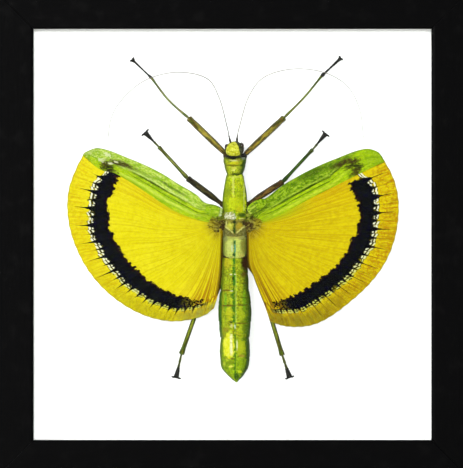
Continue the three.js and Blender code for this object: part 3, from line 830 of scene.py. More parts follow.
class SPECIMEN_OT_fittings(bpy.types.Operator):
    """Make the fittings on the back: hanging strip, nails, tabs, rivets and bumpers"""

    bl_idname = "specimen.fittings"
    bl_label = "Fittings on the back"

    def execute(self, context):
        metal = zinc()
        dress("hanger", metal)
        low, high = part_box("hanger")
        level = between(low.z, high.z, NAIL_LEVEL)
        nails = (low.x + NAIL_IN * MM, high.x - NAIL_IN * MM)
        heads = [dome((x, high.y, level), *NAIL_HEAD) for x in nails]
        settle(merge(*heads), "hanger_nails", metal)
        pins = []
        for level in ("upper", "lower"):
            for side, way in SIDES.items():
                dress(f"tab_{level}_{side}", metal)
                low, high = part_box(f"tab_{level}_{side}")
                outer = high.x if way > 0 else low.x
                at = (outer - way * RIVET_IN * MM, high.y, (low.z + high.z) / 2)
                pins.append(dome(at, *RIVET_HEAD))
        settle(merge(*pins), "tab_rivets", metal)
        rubber = grey_rubber()
        for side in SIDES:
            low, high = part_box(f"bumper_{side}")
            middle = ((low.x + high.x) / 2, low.y, (low.z + high.z) / 2)
            pad = dome(middle, (high.x - low.x) / 2 / MM, (high.y - low.y) / MM)
            settle(pad, f"pad_{side}", rubber, [f"bumper_{side}"])
        return {"FINISHED"}


def dome(at, radius, height):
    """A low round head on the back of the case, of a size in millimetres, with a small flat top."""
    bm = bmesh.new()
    bmesh.ops.create_cone(
        bm, cap_ends=True, segments=40, radius1=radius, radius2=radius * 0.55, depth=height,
    )
    rims = [edge for edge in bm.edges if abs(edge.verts[0].co.z - edge.verts[1].co.z) < 1e-6]
    top = [edge for edge in rims if edge.verts[0].co.z > 0]
    bmesh.ops.bevel(
        bm, geom=top, offset=min(height * 0.8, radius * 0.4), segments=5, profile=0.5, affect="EDGES",
        material=-1,
    )
    put(bm, Matrix.Translation((0, 0, height / 2)))
    put(bm, Matrix.Rotation(-pi / 2, 4, "X"))
    put(bm, Matrix.Translation(at) @ Matrix.Scale(MM, 4))
    return bm


# ---- body


def plate_span(name):
    """Heights of a plate's front and back in the insect's own frame, and its half-width function."""
    low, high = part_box(name)
    front, middle, back = PLATE_HALF_WIDTHS[name]
    half_width = through([(0, front), (0.5, middle), (1, back)])
    return high.z / MM - HINGE_HEIGHT, low.z / MM - HINGE_HEIGHT, half_width


def fullness(half_width):
    """Share of the full depth that the body has where it is this wide."""
    return between(0.35, 1, min(1, half_width / 5))


def around(u, half_width, boxy=0.0):
    """Point on the body's section at turn u, one half on the back; boxy flattens the back and the sides."""
    turn = 2 * pi * (u - 0.5)
    x, y = sin(turn), -cos(turn)
    square = 1 + boxy * (x * y) ** 2
    depth = fullness(half_width) * (BACK_RISE if y < 0 else BELLY_DROP)
    return Vector((x * half_width * square, BODY_Y + y * depth * square, 0))


def plate(name, relief, rows):
    """One plate of the body. Its front end is tucked under the plate ahead and its rear edge is a lip.
    relief(u, share) is how far, in millimetres, the surface stands out from the plain barrel."""
    front, back, half_width = plate_span(name)
    lean = TIP_LEAN if name == "abdomen_9" else 0

    def place(u, v):
        step = min(max((v * rows - 1) / (rows - 2), 0), 1)
        z = between(front + TUCK, back - REAR_OVER, step)
        share = min(max((front - z) / (front - back), 0), 1)
        rim = between(0.9, 1, smooth(front + TUCK - z, 0, TUCK + 0.2))
        lip = 1 + 0.012 * hump(step, 0.95, 0.03) - 0.07 * smooth(step, 0.98, 1.0)
        if v * rows < 0.5 or v * rows > rows - 0.5:
            rim = 0
        point = around(u, half_width(share), BOXINESS)
        middle = Vector((0, BODY_Y, 0))
        out = (point - middle).normalized()
        grown = middle + ((point - middle) * lip + out * relief(u, share) * (rim > 0.95)) * rim
        bow = 0.3 * beside(u, 0, 0.14) - 0.15
        return grown.x + lean * share, grown.y, z - bow * (rim > 0)
    return loft(PLATE_COLUMNS, rows, place)


def off_midline(u):
    """Distance round the section from the midline of the back, in turns."""
    return abs(u - 0.5)


def beside(u, at, width):
    """1 at a distance from the midline on both sides of it, falling away like a bell, in turns."""
    return hump(off_midline(u), at, width)


def ripple(u, share, size, grain, seed=0.0):
    """Small uneven bumps of the given size in millimetres."""
    turn = 2 * pi * u
    where = Vector((cos(turn) * grain, sin(turn) * grain, share * grain * 1.6 + seed))
    return size * noise.noise(where)


def collar_relief(u, share):
    top = beside(u, 0, 0.2)
    groove = -0.34 * hump(share, 0.36, 0.05) * top
    front_roll = 0.22 * hump(share, 0.16, 0.1) * top
    rear_lobe = 0.2 * hump(share, 0.6, 0.16) * beside(u, 0.06, 0.1)
    midline = -0.12 * beside(u, 0, 0.012) * (share > 0.4)
    return groove + front_roll + rear_lobe + midline + ripple(u, share, 0.06, 2.5)


def thorax_relief(u, share):
    keel = 0.1 * beside(u, 0, 0.012) * smooth(share, 0.0, 0.1)
    shoulder = 0.16 * beside(u, 0.165, 0.018) * smooth(share, 0.02, 0.15)
    shoulder *= 1 - smooth(share, 0.86, 0.95)
    stripes = 0.035 * cos(2 * pi * off_midline(u) * 26) * smooth(0.16 - off_midline(u), 0, 0.03)
    rear_bar = 0.28 * hump(share, 0.885, 0.028) * beside(u, 0.08, 0.1)
    rear_groove = -0.3 * hump(share, 0.83, 0.03) * beside(u, 0.0, 0.14)
    return keel + shoulder + stripes + rear_bar + rear_groove + ripple(u, share, 0.07, 2.2, 3)


def wing_plate_relief(u, share):
    across = 2 * pi * (u - 0.5) * 4.2
    along = share * 5.6
    ovals = 0.0
    for side in (-1, 1):
        far = hypot((across - side * 1.75) / 1.35, (along - 2.2) / 1.75)
        ovals += 0.5 * smooth(1.15 - far, 0, 0.5)
    ridge = 0.24 * hump(abs(across), 0.35 + 1.4 * max(0, 4.45 - along), 0.4) * smooth(along, 2.0, 2.6)
    middle = -0.25 * hump(across, 0, 0.35)
    return ovals + ridge + middle + ripple(u, share, 0.12, 3.2, 7)


def median_relief(u, share):
    groove = -0.12 * beside(u, 0, 0.012)
    panel = 0.12 * beside(u, 0.09, 0.05) * smooth(share, 0.0, 0.2)
    front_fold = 0.15 * hump(share, 0.08, 0.05)
    return groove + panel + front_fold + ripple(u, share, 0.08, 2.4, 11)


def abdomen_relief(seed):
    def relief(u, share):
        groove = -0.14 * beside(u, 0.0, 0.009)
        keel = 0.09 * beside(u, 0.028, 0.014)
        panel = 0.1 * beside(u, 0.12, 0.05)
        edge = 0.14 * beside(u, 0.215, 0.016)
        wrinkle = 0.03 * sin(share * 40 + 3 * sin(u * 9 + seed)) * smooth(share, 0.5, 0.95)
        return groove + keel + panel + edge + wrinkle + ripple(u, share, 0.12, 2.6, seed)
    return relief


def from_oval(x, z, middle_x, middle_z, half_x, half_z):
    """Distance from the middle of an oval, where 1 is on its outline."""
    return (((x - middle_x) / half_x) ** 2 + ((z - middle_z) / half_z) ** 2) ** 0.5


def blots(x, z, rough, rows):
    """Coats for rounded marks: middle and half-sizes in the insect's own frame, colour and strength."""
    coats = []
    for *oval, colour, strength in rows:
        far = from_oval(x, z, *oval) + (rough - 0.5) * 1.5
        coats.append((far.rising(1.2, 0.5) * strength, tint(*colour)))
    return coats


def cuticle(name, back, flank_and_shade, marks=(), lines=(), grain=1.0, right_shade=(0.57, 0.65), extra=None):
    """Hard skin: coloured along the back, darker down the flanks, mottled and finely granular. The sides
    are darkened as painted shade, the right side much more than the left, since the light comes from the
    left;
    the dark colour of the sides is partly the body's own and partly painted shade. The piece's UV map runs
    once round the body, one half on the back, and from the front of the plate to its rear. marks are blots,
    and lines are lengthwise strips: place across, half-width, from, to, colour, strength. grain is how
    mottled it is, the pair of turns after it is where the painted shade of the right side sets in, and
    extra makes further coats."""
    skin = Finish(name, 0.12)
    turn, share = skin.pattern()
    x, z = skin.in_plane()
    cloud = skin.grain(0.45, 3, 0.4)
    mottle = skin.grain(1.25, 4, 0.5)
    crumbs = skin.grain(2.3, 3)
    folds = skin.grain(1.1, 3, 0.5, stretch=(0.5, 1, 2.4))
    grains = skin.cells(skin.place(), 3.4)
    light = scaled(back, 1.4)
    dark = scaled(back, 0.42, 0.5, 0.5)
    warm = scaled(back, 1.1, 0.74, 0.8)
    wobbly = turn + (mottle - 0.5) * 0.07 + (cloud - 0.5) * 0.05
    # where the right side turns to painted shade, since the light comes from the left
    right = wobbly.rising(*right_shade)
    coats = [
        (cloud.rising(0.47, 0.6) * 0.55, light),
        (cloud.rising(0.5, 0.4) * 0.5, warm),
        (mottle.rising(0.49, 0.58) * 0.72 * grain, dark),
        (folds.rising(0.53, 0.6) * 0.5 * grain, dark),
        (mottle.rising(0.45, 0.37) * 0.65 * grain, light),
        (crumbs.rising(0.54, 0.6) * 0.6 * grain, scaled(warm, 0.3)),
        (crumbs.rising(0.44, 0.38) * 0.5 * grain, scaled(back, 1.6)),
        # painted shade down the sides: a little on the left, a darker band and then the dark side colour on
        # the right, and a dark left edge
        (wobbly.rising(0.45, 0.36) * 0.35, dark),
        (wobbly.rising(right_shade[0] - 0.05, right_shade[0] + 0.03) * 0.55, dark),
        (wobbly.rising(0.385, 0.33) * 0.85, [0.25 * a + 0.75 * b for a, b in zip(back, flank_and_shade)]),
        (right * 0.95, flank_and_shade),
        (right * mottle.rising(0.5, 0.6) * 0.5, scaled(flank_and_shade, 2.6)),
        (share.rising(0.95, 0.99) * mottle.rising(0.44, 0.58) * 0.45, scaled(warm, 0.2)),
    ]
    for across, half_width, start, end, colour, strength in lines:
        wobble = (mottle - 0.5) * 2.6 * half_width
        line = abs(x - across + wobble).rising(half_width * 1.5, half_width * 0.5)
        line = line * z.rising(end - 0.3, end + 0.3) * z.rising(start + 0.3, start - 0.3)
        coats.append((line * (strength * (cloud + mottle * 1.1).rising(0.6, 1.15)), tint(*colour)))
    coats += blots(x, z, mottle, marks)
    if extra:
        coats += extra(skin, x, z, mottle, crumbs)
    shade = skin.layers(back, *coats)
    height = grains * 0.4 + mottle * 0.7 + folds * 0.5 + crumbs * 0.3
    return skin.surface(shade, 0.36 + 0.3 * mottle, height, 0.2)


def crumbled_rear(skin, x, z, mottle, crumbs):
    """Pale crumbs on a brown ground at the rear of the thorax, left of its midline."""
    far = from_oval(x, z, -1.75, 2.7, 2.2, 1.6) + (mottle - 0.5) * 1.2
    zone = far.rising(1.1, 0.6)
    return [
        (zone * 0.75, tint(110, 104, 44)),
        (zone * crumbs.rising(0.47, 0.52) * 0.95, tint(248, 248, 214)),
    ]


def chevron(skin, x, z, mottle, crumbs):
    """Two pale ridges that meet on the midline behind the hinges of the wings, on a dark ground."""
    aside = abs(x + (mottle - 0.5) * 1.3)
    off = z + 3.1 - (aside - 0.35) * 0.76 + (crumbs - 0.5) * 1.1
    arm = abs(off).rising(0.5, 0.16) * aside.rising(0.4, 0.7) * aside.rising(3.7, 3.1)
    below = off.rising(0.0, -0.9)
    return [
        (below * 0.6, tint(76, 74, 30)),
        (below * crumbs.rising(0.47, 0.55) * 0.6, tint(150, 148, 84)),
        (arm * 0.75, tint(218, 216, 120)),
    ]


def rounded_shield(skin, x, z, mottle, crumbs):
    """Dark corners round the pale plate behind the wings."""
    far = ((x / 4.1) ** 2) ** 1.5 + (((z + 7.7) / 3.9) ** 2) ** 1.5 + (mottle - 0.5) * 0.4
    corner = far.rising(1.05, 1.35)
    return [(corner * 0.8, tint(92, 96, 52)), (corner * z.rising(-9.0, -10.5) * 0.95, tint(48, 32, 14))]


def gloss(skin, x, z, mottle, crumbs):
    """A painted highlight: the glossy left half of the plates near the tip, as a bright yellow patch with a
    white streak, pale glints and darker crumbs.
    """
    far = from_oval(x, z, -2.1, -42.2, 2.0, 4.5) + (mottle - 0.5)
    zone = far.rising(1.12, 0.8)
    streak = abs(x + 1.25 + (mottle - 0.5) * 1.6).rising(0.6, 0.2) * z.rising(-46.0, -44.5)
    return [
        (zone * 0.97, tint(240, 240, 28)),
        (zone * streak * 0.85, tint(253, 253, 200)),
        (zone * crumbs.rising(0.55, 0.62) * 0.6, tint(150, 158, 14)),
        (zone * crumbs.rising(0.44, 0.4) * 0.5, tint(252, 252, 150)),
    ]


WHITISH = (232, 236, 186)
BLACK = (12, 10, 8)

# Marks on the plates: middle and half-sizes, colour as 0 to 255, and strength. Lines along them: place
# across, half-width, from, to, colour and strength.
COLLAR_MARKS = (
    (-0.3, 21.0, 2.4, 0.6, (214, 210, 24), 0.8),
    (0.9, 21.1, 0.7, 0.4, (176, 150, 30), 0.6),
    (-0.7, 20.3, 2.8, 0.3, (120, 104, 18), 0.8),
    # the next two blots are painted highlights on the rear lobe
    (-0.45, 19.4, 1.1, 0.5, (236, 224, 96), 0.6),
    (-0.55, 18.6, 0.8, 0.45, (240, 240, 128), 0.8),
    (-1.5, 18.9, 1.2, 1.1, (190, 206, 34), 0.5),
    (-0.5, 21.95, 1.8, 0.26, (216, 214, 150), 0.75),
    (1.3, 22.1, 0.7, 0.35, (150, 130, 60), 0.7),
    (-0.5, 22.95, 2.9, 0.75, BLACK, 1.0),
    # a painted highlight on the dark right front corner
    (3.0, 22.9, 0.9, 0.6, (128, 134, 120), 0.7),
    (0.4, 17.2, 1.7, 0.5, (40, 60, 10), 0.9),
)
THORAX_MARKS = (
    (-2.3, 11.0, 1.0, 2.6, (130, 150, 12), 0.6),
    (2.0, 9.0, 0.9, 3.4, (140, 158, 12), 0.55),
    (-2.9, 5.6, 0.8, 1.8, (120, 150, 14), 0.6),
    (-0.2, 7.2, 2.9, 2.6, (210, 220, 10), 0.55),
    (1.6, 5.2, 0.9, 1.2, (210, 200, 16), 0.45),
    (0.1, 16.2, 2.9, 0.4, (214, 220, 90), 0.5),
    (-0.2, 2.3, 0.7, 0.7, (206, 224, 196), 0.8),
    (2.5, 3.1, 1.7, 0.95, (44, 76, 16), 0.9),
    (2.6, 1.8, 1.0, 0.3, (206, 206, 130), 0.7),
    (-0.4, 1.1, 0.8, 0.4, BLACK, 0.8),
)
THORAX_LINES = (
    (-0.55, 0.35, 16.4, 9.2, (226, 230, 110), 0.7),
    (0.75, 0.3, 15.4, 6.0, (150, 176, 16), 0.6),
    (1.9, 0.35, 15.4, 5.0, (156, 182, 14), 0.5),
    (-2.1, 0.3, 15.0, 6.0, (156, 180, 18), 0.5),
    (-0.15, 0.3, 5.2, 1.0, (66, 142, 20), 0.8),
    (3.2, 0.16, 14.0, 4.6, (214, 224, 120), 0.8),
)
WING_PLATE_MARKS = (
    (-1.65, -0.8, 1.45, 1.6, (196, 198, 62), 0.95),
    (1.6, -0.6, 1.3, 1.5, (172, 152, 34), 0.95),
    (-1.5, -0.3, 0.5, 0.5, (226, 228, 96), 0.6),
    (-2.9, 0.3, 0.35, 0.9, (222, 218, 128), 0.8),
    (-0.2, 0.7, 0.7, 0.5, (30, 44, 12), 0.9),
    (3.2, 0.4, 0.8, 0.9, (60, 48, 20), 0.9),
    (-3.7, 0.2, 0.5, 1.2, (60, 46, 18), 0.9),
)
MEDIAN_MARKS = (
    # a grey blot of painted shade at the left front
    (-3.2, -5.0, 1.0, 1.1, (132, 138, 84), 0.8),
    (2.6, -4.9, 1.5, 0.7, (150, 148, 84), 0.8),
    (-1.7, -7.6, 1.3, 2.2, (214, 222, 122), 0.5),
    (-1.0, -8.2, 0.4, 1.6, (206, 226, 176), 0.6),
    (1.6, -8.8, 1.0, 1.8, (196, 212, 86), 0.4),
    (3.1, -7.6, 1.3, 3.0, (116, 118, 34), 0.75),
    (-0.1, -6.4, 0.4, 0.5, (28, 88, 20), 0.9),
    (-0.3, -10.5, 0.55, 0.6, (24, 72, 14), 0.95),
)
MEDIAN_LINES = (
    (-0.1, 0.36, -5.6, -11.6, (48, 128, 70), 0.95),
    (0.1, 0.2, -7.2, -9.6, (70, 160, 150), 0.8),
)
FRONT_RINGS = (
    (-3.2, -27.0, 0.5, 4.0, (96, 176, 22), 0.6),
    (3.2, -26.5, 0.6, 4.5, (104, 170, 20), 0.5),
    (-2.6, -13.2, 1.3, 2.2, (204, 186, 26), 0.6),
    # a dark brown blot of painted shade at the right side, beside the wing
    (3.5, -13.2, 1.6, 3.2, (52, 28, 8), 1.0),
    (3.0, -17.4, 1.2, 1.2, (92, 70, 18), 0.8),
    (-1.35, -17.4, 0.5, 0.28, WHITISH, 0.95),
    (0.1, -17.35, 0.4, 0.2, WHITISH, 0.9),
    (-0.6, -18.8, 0.5, 0.8, (40, 52, 10), 0.9),
    (-1.1, -23.1, 0.65, 0.2, WHITISH, 0.95),
    (-1.1, -24.7, 0.6, 0.9, (70, 116, 14), 0.8),
    (-2.9, -22.9, 1.9, 0.32, (120, 88, 16), 0.85),
    (-2.4, -28.2, 2.6, 0.32, (100, 78, 14), 0.9),
    (2.4, -28.0, 2.3, 0.28, (96, 86, 14), 0.85),
    (2.2, -34.3, 2.2, 0.3, (104, 90, 16), 0.8),
    (3.3, -20.4, 1.6, 0.25, (80, 70, 14), 0.8),
    (3.0, -25.4, 1.8, 0.22, (80, 76, 14), 0.7),
    (-1.9, -31.0, 1.5, 2.2, (206, 206, 24), 0.5),
    (2.2, -31.0, 1.4, 2.4, (176, 196, 24), 0.5),
    (-1.35, -33.9, 0.7, 0.35, (26, 48, 8), 0.95),
    (-1.1, -35.1, 0.5, 0.7, (214, 206, 140), 0.7),
    (0.05, -35.4, 0.28, 0.8, (214, 236, 200), 0.85),
    (-3.0, -36.6, 1.2, 1.0, (150, 128, 30), 0.6),
)
REAR_RINGS = (
    (-3.2, -39.5, 0.6, 5.0, (84, 182, 22), 0.7),
    (1.9, -44.6, 1.2, 1.4, (96, 142, 10), 0.7),
    (1.9, -42.6, 1.8, 3.4, (184, 194, 24), 0.85),
    (0.75, -41.8, 0.25, 1.9, (244, 248, 190), 0.85),
    (2.4, -45.5, 1.2, 0.5, (176, 120, 60), 0.5),
    (-2.0, -46.5, 2.2, 0.22, (96, 30, 14), 0.8),
    (-1.4, -47.8, 1.3, 0.9, (120, 138, 10), 0.7),
    # the next two blots are painted highlights
    (-1.4, -49.2, 0.9, 0.4, (240, 240, 90), 0.85),
    (-3.6, -48.3, 0.6, 0.9, (190, 206, 50), 0.7),
    (2.4, -48.2, 1.5, 1.5, (134, 162, 8), 0.6),
    # a painted highlight
    (1.7, -51.0, 0.8, 0.6, (208, 222, 30), 0.8),
    (0.6, -52.6, 1.0, 1.5, (32, 74, 8), 0.85),
)
RING_LINES = (
    (-0.25, 0.5, -10.6, -23.0, (40, 120, 20), 0.95),
    (-0.35, 0.55, -23.4, -34.0, (50, 118, 16), 0.95),
    (0.4, 0.13, -17.6, -35.0, (176, 214, 96), 0.75),
    (-5.0, 0.5, -21.0, -40.0, (24, 92, 20), 0.85),
    (3.7, 0.9, -24.0, -38.0, (92, 122, 12), 0.6),
    (0.1, 0.28, -34.0, -53.0, (56, 116, 14), 0.9),
)


class SPECIMEN_OT_thorax(bpy.types.Operator):
    """Make the plates of the thorax and the median segment"""

    bl_idname = "specimen.thorax"
    bl_label = "Thorax"

    def execute(self, context):
        body = context.scene.specimen_body
        flank_and_shade = body.flank_and_shade
        collar = cuticle("collar_skin", body.collar, flank_and_shade, COLLAR_MARKS, right_shade=(0.56, 0.625))
        thorax = cuticle("thorax_skin", body.thorax, flank_and_shade, THORAX_MARKS, THORAX_LINES, right_shade=(0.64, 0.7),
                         extra=crumbled_rear)
        line = ((-0.1, 0.3, 1.4, -4.0, (34, 76, 14), 0.95),)
        pale = cuticle("wing_plate_skin", tint(142, 136, 50), flank_and_shade, WING_PLATE_MARKS, line,
                       right_shade=(0.64, 0.7), extra=chevron)
        median = cuticle("median_skin", body.pale, flank_and_shade, MEDIAN_MARKS, MEDIAN_LINES, grain=0.4,
                         right_shade=(0.63, 0.69), extra=rounded_shield)
        made = (
            ("prothorax", "collar", collar_relief, collar, 40),
            ("mesothorax", "long_plate", thorax_relief, thorax, 84),
            ("metathorax", "wing_plate", wing_plate_relief, pale, 48),
            ("median_segment", "median_plate", median_relief, median, 44),
        )
        for node, name, relief, skin, rows in made:
            settle(plate(node, relief, rows), name, skin, [node])
        return {"FINISHED"}


class SPECIMEN_OT_abdomen(bpy.types.Operator):
    """Make the telescoping plates of the abdomen"""

    bl_idname = "specimen.abdomen"
    bl_label = "Abdomen"

    def execute(self, context):
        body = context.scene.specimen_body
        front = cuticle("abdomen_skin", body.back, body.flank_and_shade, FRONT_RINGS, RING_LINES, extra=gloss)
        rear = cuticle("abdomen_end_skin", body.end, body.flank_and_shade, REAR_RINGS, RING_LINES[-1:], extra=gloss)
        for number in range(2, 10):
            node = f"abdomen_{number}"
            skin = front if number < 7 else rear
            relief = abdomen_relief(number * 5.0)
            settle(plate(node, relief, 40), f"plate_{number}", skin, [node])
        return {"FINISHED"}


class SPECIMEN_OT_soft_skin(bpy.types.Operator):
    """Make the soft skin between the plates, from the neck to the tip"""

    bl_idname = "specimen.soft_skin"
    bl_label = "Soft skin"

    def execute(self, context):
        rows = []
        for name in PLATE_HALF_WIDTHS:
            front, back, half_width = plate_span(name)
            rows.append((-(front - 0.1), half_width(0) * SOFT_SHARE))
            rows.append((-(front + back) / 2, half_width(0.5) * SOFT_SHARE))
        rows.append((-back, 0.2))
        width_at = through(rows)
        end = plate_span("abdomen_9")[1]

        def place(u, v):
            z = between(NECK_TOP, end, v)
            width = width_at(-z) if z < -rows[0][0] else NECK_HALF_WIDTH
            if v in (0, 1):
                width = 0
            point = around(u, max(width, 0.01))
            return point.x, BODY_Y + (point.y - BODY_Y) * SOFT_SHARE * (width > 0), z
        skin = Finish("soft_skin")
        folds = skin.grain(1.2, 4, stretch=(1, 1, 4))
        colour = skin.mix(folds, tint(26, 30, 12), tint(66, 70, 26))
        settle(loft(48, 120, place), "soft_skin", skin.surface(colour, 0.6, folds, 0.1))
        return {"FINISHED"}


# ---- head

HEAD_FRAME = Matrix.Rotation(HEAD_TURN, 3, "Y")
CROWN_AT = Vector((-0.73, 0, 26.0))  # middle of the granular crown, in the insect's own frame
CROWN_HALF = Vector((2.25, 0, 2.7))
# Palps of the right side: points from the middle of the head, half-thickness, joints, and rows of faces.
PALPS = (
    (((1.2, 1.75, 1.2), (1.75, 2.25, 1.5), (1.65, 2.5, 2.0), (1.1, 2.6, 2.4)), 0.2, 5, 40),
    (((0.5, 1.95, 1.1), (0.8, 2.35, 1.5), (0.55, 2.55, 2.1)), 0.17, 3, 30),
)


def on_head(local):
    """A place measured from the middle of the head, as a place in the insect's own frame."""
    return HEAD_MIDDLE + HEAD_FRAME @ Vector(local)


def capsule_swell(unit):
    """How much the head stands out from a plain ellipsoid in a direction from its middle."""
    taper = -0.15 * unit.z * (1 - smooth(unit.z, -0.4, 0.7)) - 0.05 * unit.z ** 2
    crown = 0.13 * hump((unit - Vector((-0.24, -0.95, -0.12))).length, 0, 0.75)
    mirrored = Vector((abs(unit.x), unit.y, unit.z))
    cheeks = 0.05 * hump((mirrored - Vector((0.9, 0.35, -0.1))).length, 0, 0.4)
    eye = Vector((EYE_AT.x / HEAD_HALF.x, EYE_AT.y / HEAD_HALF.y, EYE_AT.z / HEAD_HALF.z)).normalized()
    far = (mirrored - eye).length
    socket = 0.07 * hump(far, 0.36, 0.07) - 0.06 * hump(far, 0, 0.25)
    suture = -0.03 * hump(unit.x + 0.24, 0, 0.03) * (unit.y < 0) * smooth(-unit.z, -0.55, -0.2)
    arms = -0.025 * hump(abs(unit.x + 0.24) - 0.9 * max(0, unit.z - 0.35), 0, 0.035) * (unit.y < 0)
    brow = -0.06 * hump(unit.z, 0.78, 0.07) * (unit.y < 0.2)
    cobbles = 0.02 * noise.noise(unit * 7)
    return taper + crown + cheeks + socket + suture + arms * (unit.z > 0.35) + brow + cobbles


def crown_skin(body):
    """Head shell: a cobbled yellow crown, with dark olive cheeks; the right cheek is darker still as
    painted shade, and a pale arc along its outer edge is a painted highlight.
    """
    skin = Finish("crown_skin", 0.14)
    place = skin.place()
    centre = (INSECT_X + CROWN_AT.x, 0, HINGE_HEIGHT + CROWN_AT.z)
    x, y, z = skin.parts(skin.place(centre=centre))
    wobble = (skin.noise(place, 1.6, 3) - 0.5) * 0.22
    narrow = 1 + z.at_least(-1.5) * 0.085
    far = ((x * narrow / CROWN_HALF.x) ** 2 + (z.at_least(0) / CROWN_HALF.z) ** 2) ** 0.5 + wobble
    back = y.rising(0.6, -0.6)
    crown = far.rising(1.04, 0.9) * back
    cobble = skin.cells(place, 1.9)
    lines = skin.cells(place, 1.9, "DISTANCE_TO_EDGE")
    mottle = skin.noise(place, 1.5, 3)
    # painted shade on the right cheek, which faces away from the light
    right = x.rising(1.2, 2.6)
    cheek = skin.layers(
        tint(72, 80, 26),
        (right * 0.9, tint(44, 48, 28)),
        (mottle.rising(0.5, 0.6) * 0.5, tint(112, 112, 78)),
        # a painted highlight along the outer edge of the right cheek
        (x.rising(3.3, 3.9) * 0.6, tint(112, 104, 108)),
    )
    top = skin.layers(
        body.crown,
        (mottle.rising(0.48, 0.57) * 0.7, tint(250, 252, 110)),
        (mottle.rising(0.47, 0.4) * 0.75, tint(184, 184, 14)),
        (lines.rising(0.11, 0.0) * 0.75, tint(158, 156, 14)),
        (z.rising(1.6, 2.8) * 0.4, tint(196, 190, 40)),
    )
    return skin.surface(skin.mix(crown, cheek, top), 0.42 + 0.15 * mottle, -cobble, 0.16)


def horn(name, dark, light, scale=1.5, roughness=0.4):
    """Dark horny skin with paler clouds."""
    skin = Finish(name, 0.2)
    cloud = skin.grain(scale, 4)
    shade = skin.mix(cloud.rising(0.35, 0.7), dark, light)
    return skin.surface(shade, roughness + 0.15 * cloud, cloud, 0.04)


def compound_eye(colour):
    """A glossy eye of many small facets, with paler clouded bands across it."""
    eye = Finish("eye", 0.6, coat_weight=0.6, coat_roughness=0.08)
    facets = eye.cells(eye.place(), 13, randomness=0.25)
    bands = eye.grain(0.8, 2, stretch=(1, 1, 3))
    shade = eye.mix(bands.rising(0.45, 0.65) * 0.7, colour, tint(84, 54, 30))
    return eye.surface(shade, 0.22, -facets, 0.03)


class SPECIMEN_OT_head(bpy.types.Operator):
    """Make the head with its eyes, ocelli and mouthparts, and the neck"""

    bl_idname = "specimen.head"
    bl_label = "Head"

    def execute(self, context):
        body = context.scene.specimen_body
        capsule = lump(on_head((0, 0, 0)), HEAD_HALF, HEAD_FRAME, 120, 90, capsule_swell)
        settle(capsule, "head_capsule", crown_skin(body), ["head"])
        self.eyes(body)
        self.mouth()
        self.neck()
        return {"FINISHED"}

    def eyes(self, body):
        finish = compound_eye(body.eye)
        for label, side in SIDES.items():
            at = on_head((side * (EYE_AT.x - 0.1), EYE_AT.y, EYE_AT.z))
            tilt = HEAD_FRAME @ Matrix.Rotation(side * 0.25, 3, "Z")
            ball = lump(at, (EYE_RADIUS * 0.82, EYE_RADIUS * 1.05, EYE_RADIUS * 1.18), tilt, 40, 28)
            settle(ball, f"eye_ball_{label}", finish, [f"eye_{label}"])
        amber = horn("ocellus_amber", tint(120, 92, 20), tint(170, 140, 40), 4, 0.15)
        beads = []
        for x, z in ((-0.24, 1.35), (-0.85, 0.75), (0.4, 0.75)):
            beads.append(lump(on_head((x, -2.22 + abs(x) * 0.12, z)), (0.17, 0.13, 0.17), None, 16, 10))
        settle(merge(*beads), "ocelli", amber)

    def mouth(self):
        brown = horn("mouth_horn", tint(58, 46, 24), tint(120, 108, 48))
        pieces = [
            lump(on_head((0, 1.0, 1.75)), (1.25, 0.75, 0.7), HEAD_FRAME, 32, 20),
            lump(on_head((0, 1.55, 1.85)), (0.95, 0.5, 0.55), HEAD_FRAME, 28, 16),
        ]
        for side in (-1, 1):
            pieces.append(lump(on_head((side * 0.95, 1.55, 1.5)), (0.62, 0.7, 0.75), HEAD_FRAME, 24, 16))
            for points, half_thickness, joints, rows in PALPS:
                palp = Route([on_head((side * x, y, z)) for x, y, z in points])
                pieces.append(jointed(palp, half_thickness, joints, rows))
        settle(merge(*pieces), "mouthparts", brown)

    def neck(self):
        dark = horn("neck_skin", tint(10, 10, 8), tint(30, 28, 18), 2, 0.5)
        folds = lump((-0.35, BODY_Y + 0.1, 22.9), (2.95, 1.9, 1.5), None, 64, 40,
                     lambda unit: 0.05 * sin(unit.z * 22))
        # the dark lump at the right shoulder alone is painted shade: it stands for the shade on that side,
        # away from the light
        shoulder = lump((2.9, BODY_Y + 0.7, 23.4), (1.3, 1.5, 1.1), None, 32, 20,
                        lambda unit: 0.08 * noise.noise(unit * 3))
        settle(merge(folds, shoulder), "neck", dark)


def jointed(path, half_thickness, joints, rows):
    """A limb of small joints, each swelling towards its far end."""
    def section(turn, share):
        inside = (share * joints) % 1
        swell = 0.72 + 0.34 * sin(pi * (0.12 + 0.72 * inside)) ** 1.5
        return on_ring(turn, half_thickness * swell * (1 - 0.5 * smooth(share, 0.9, 1)))
    return tube(path, 10, rows, section)


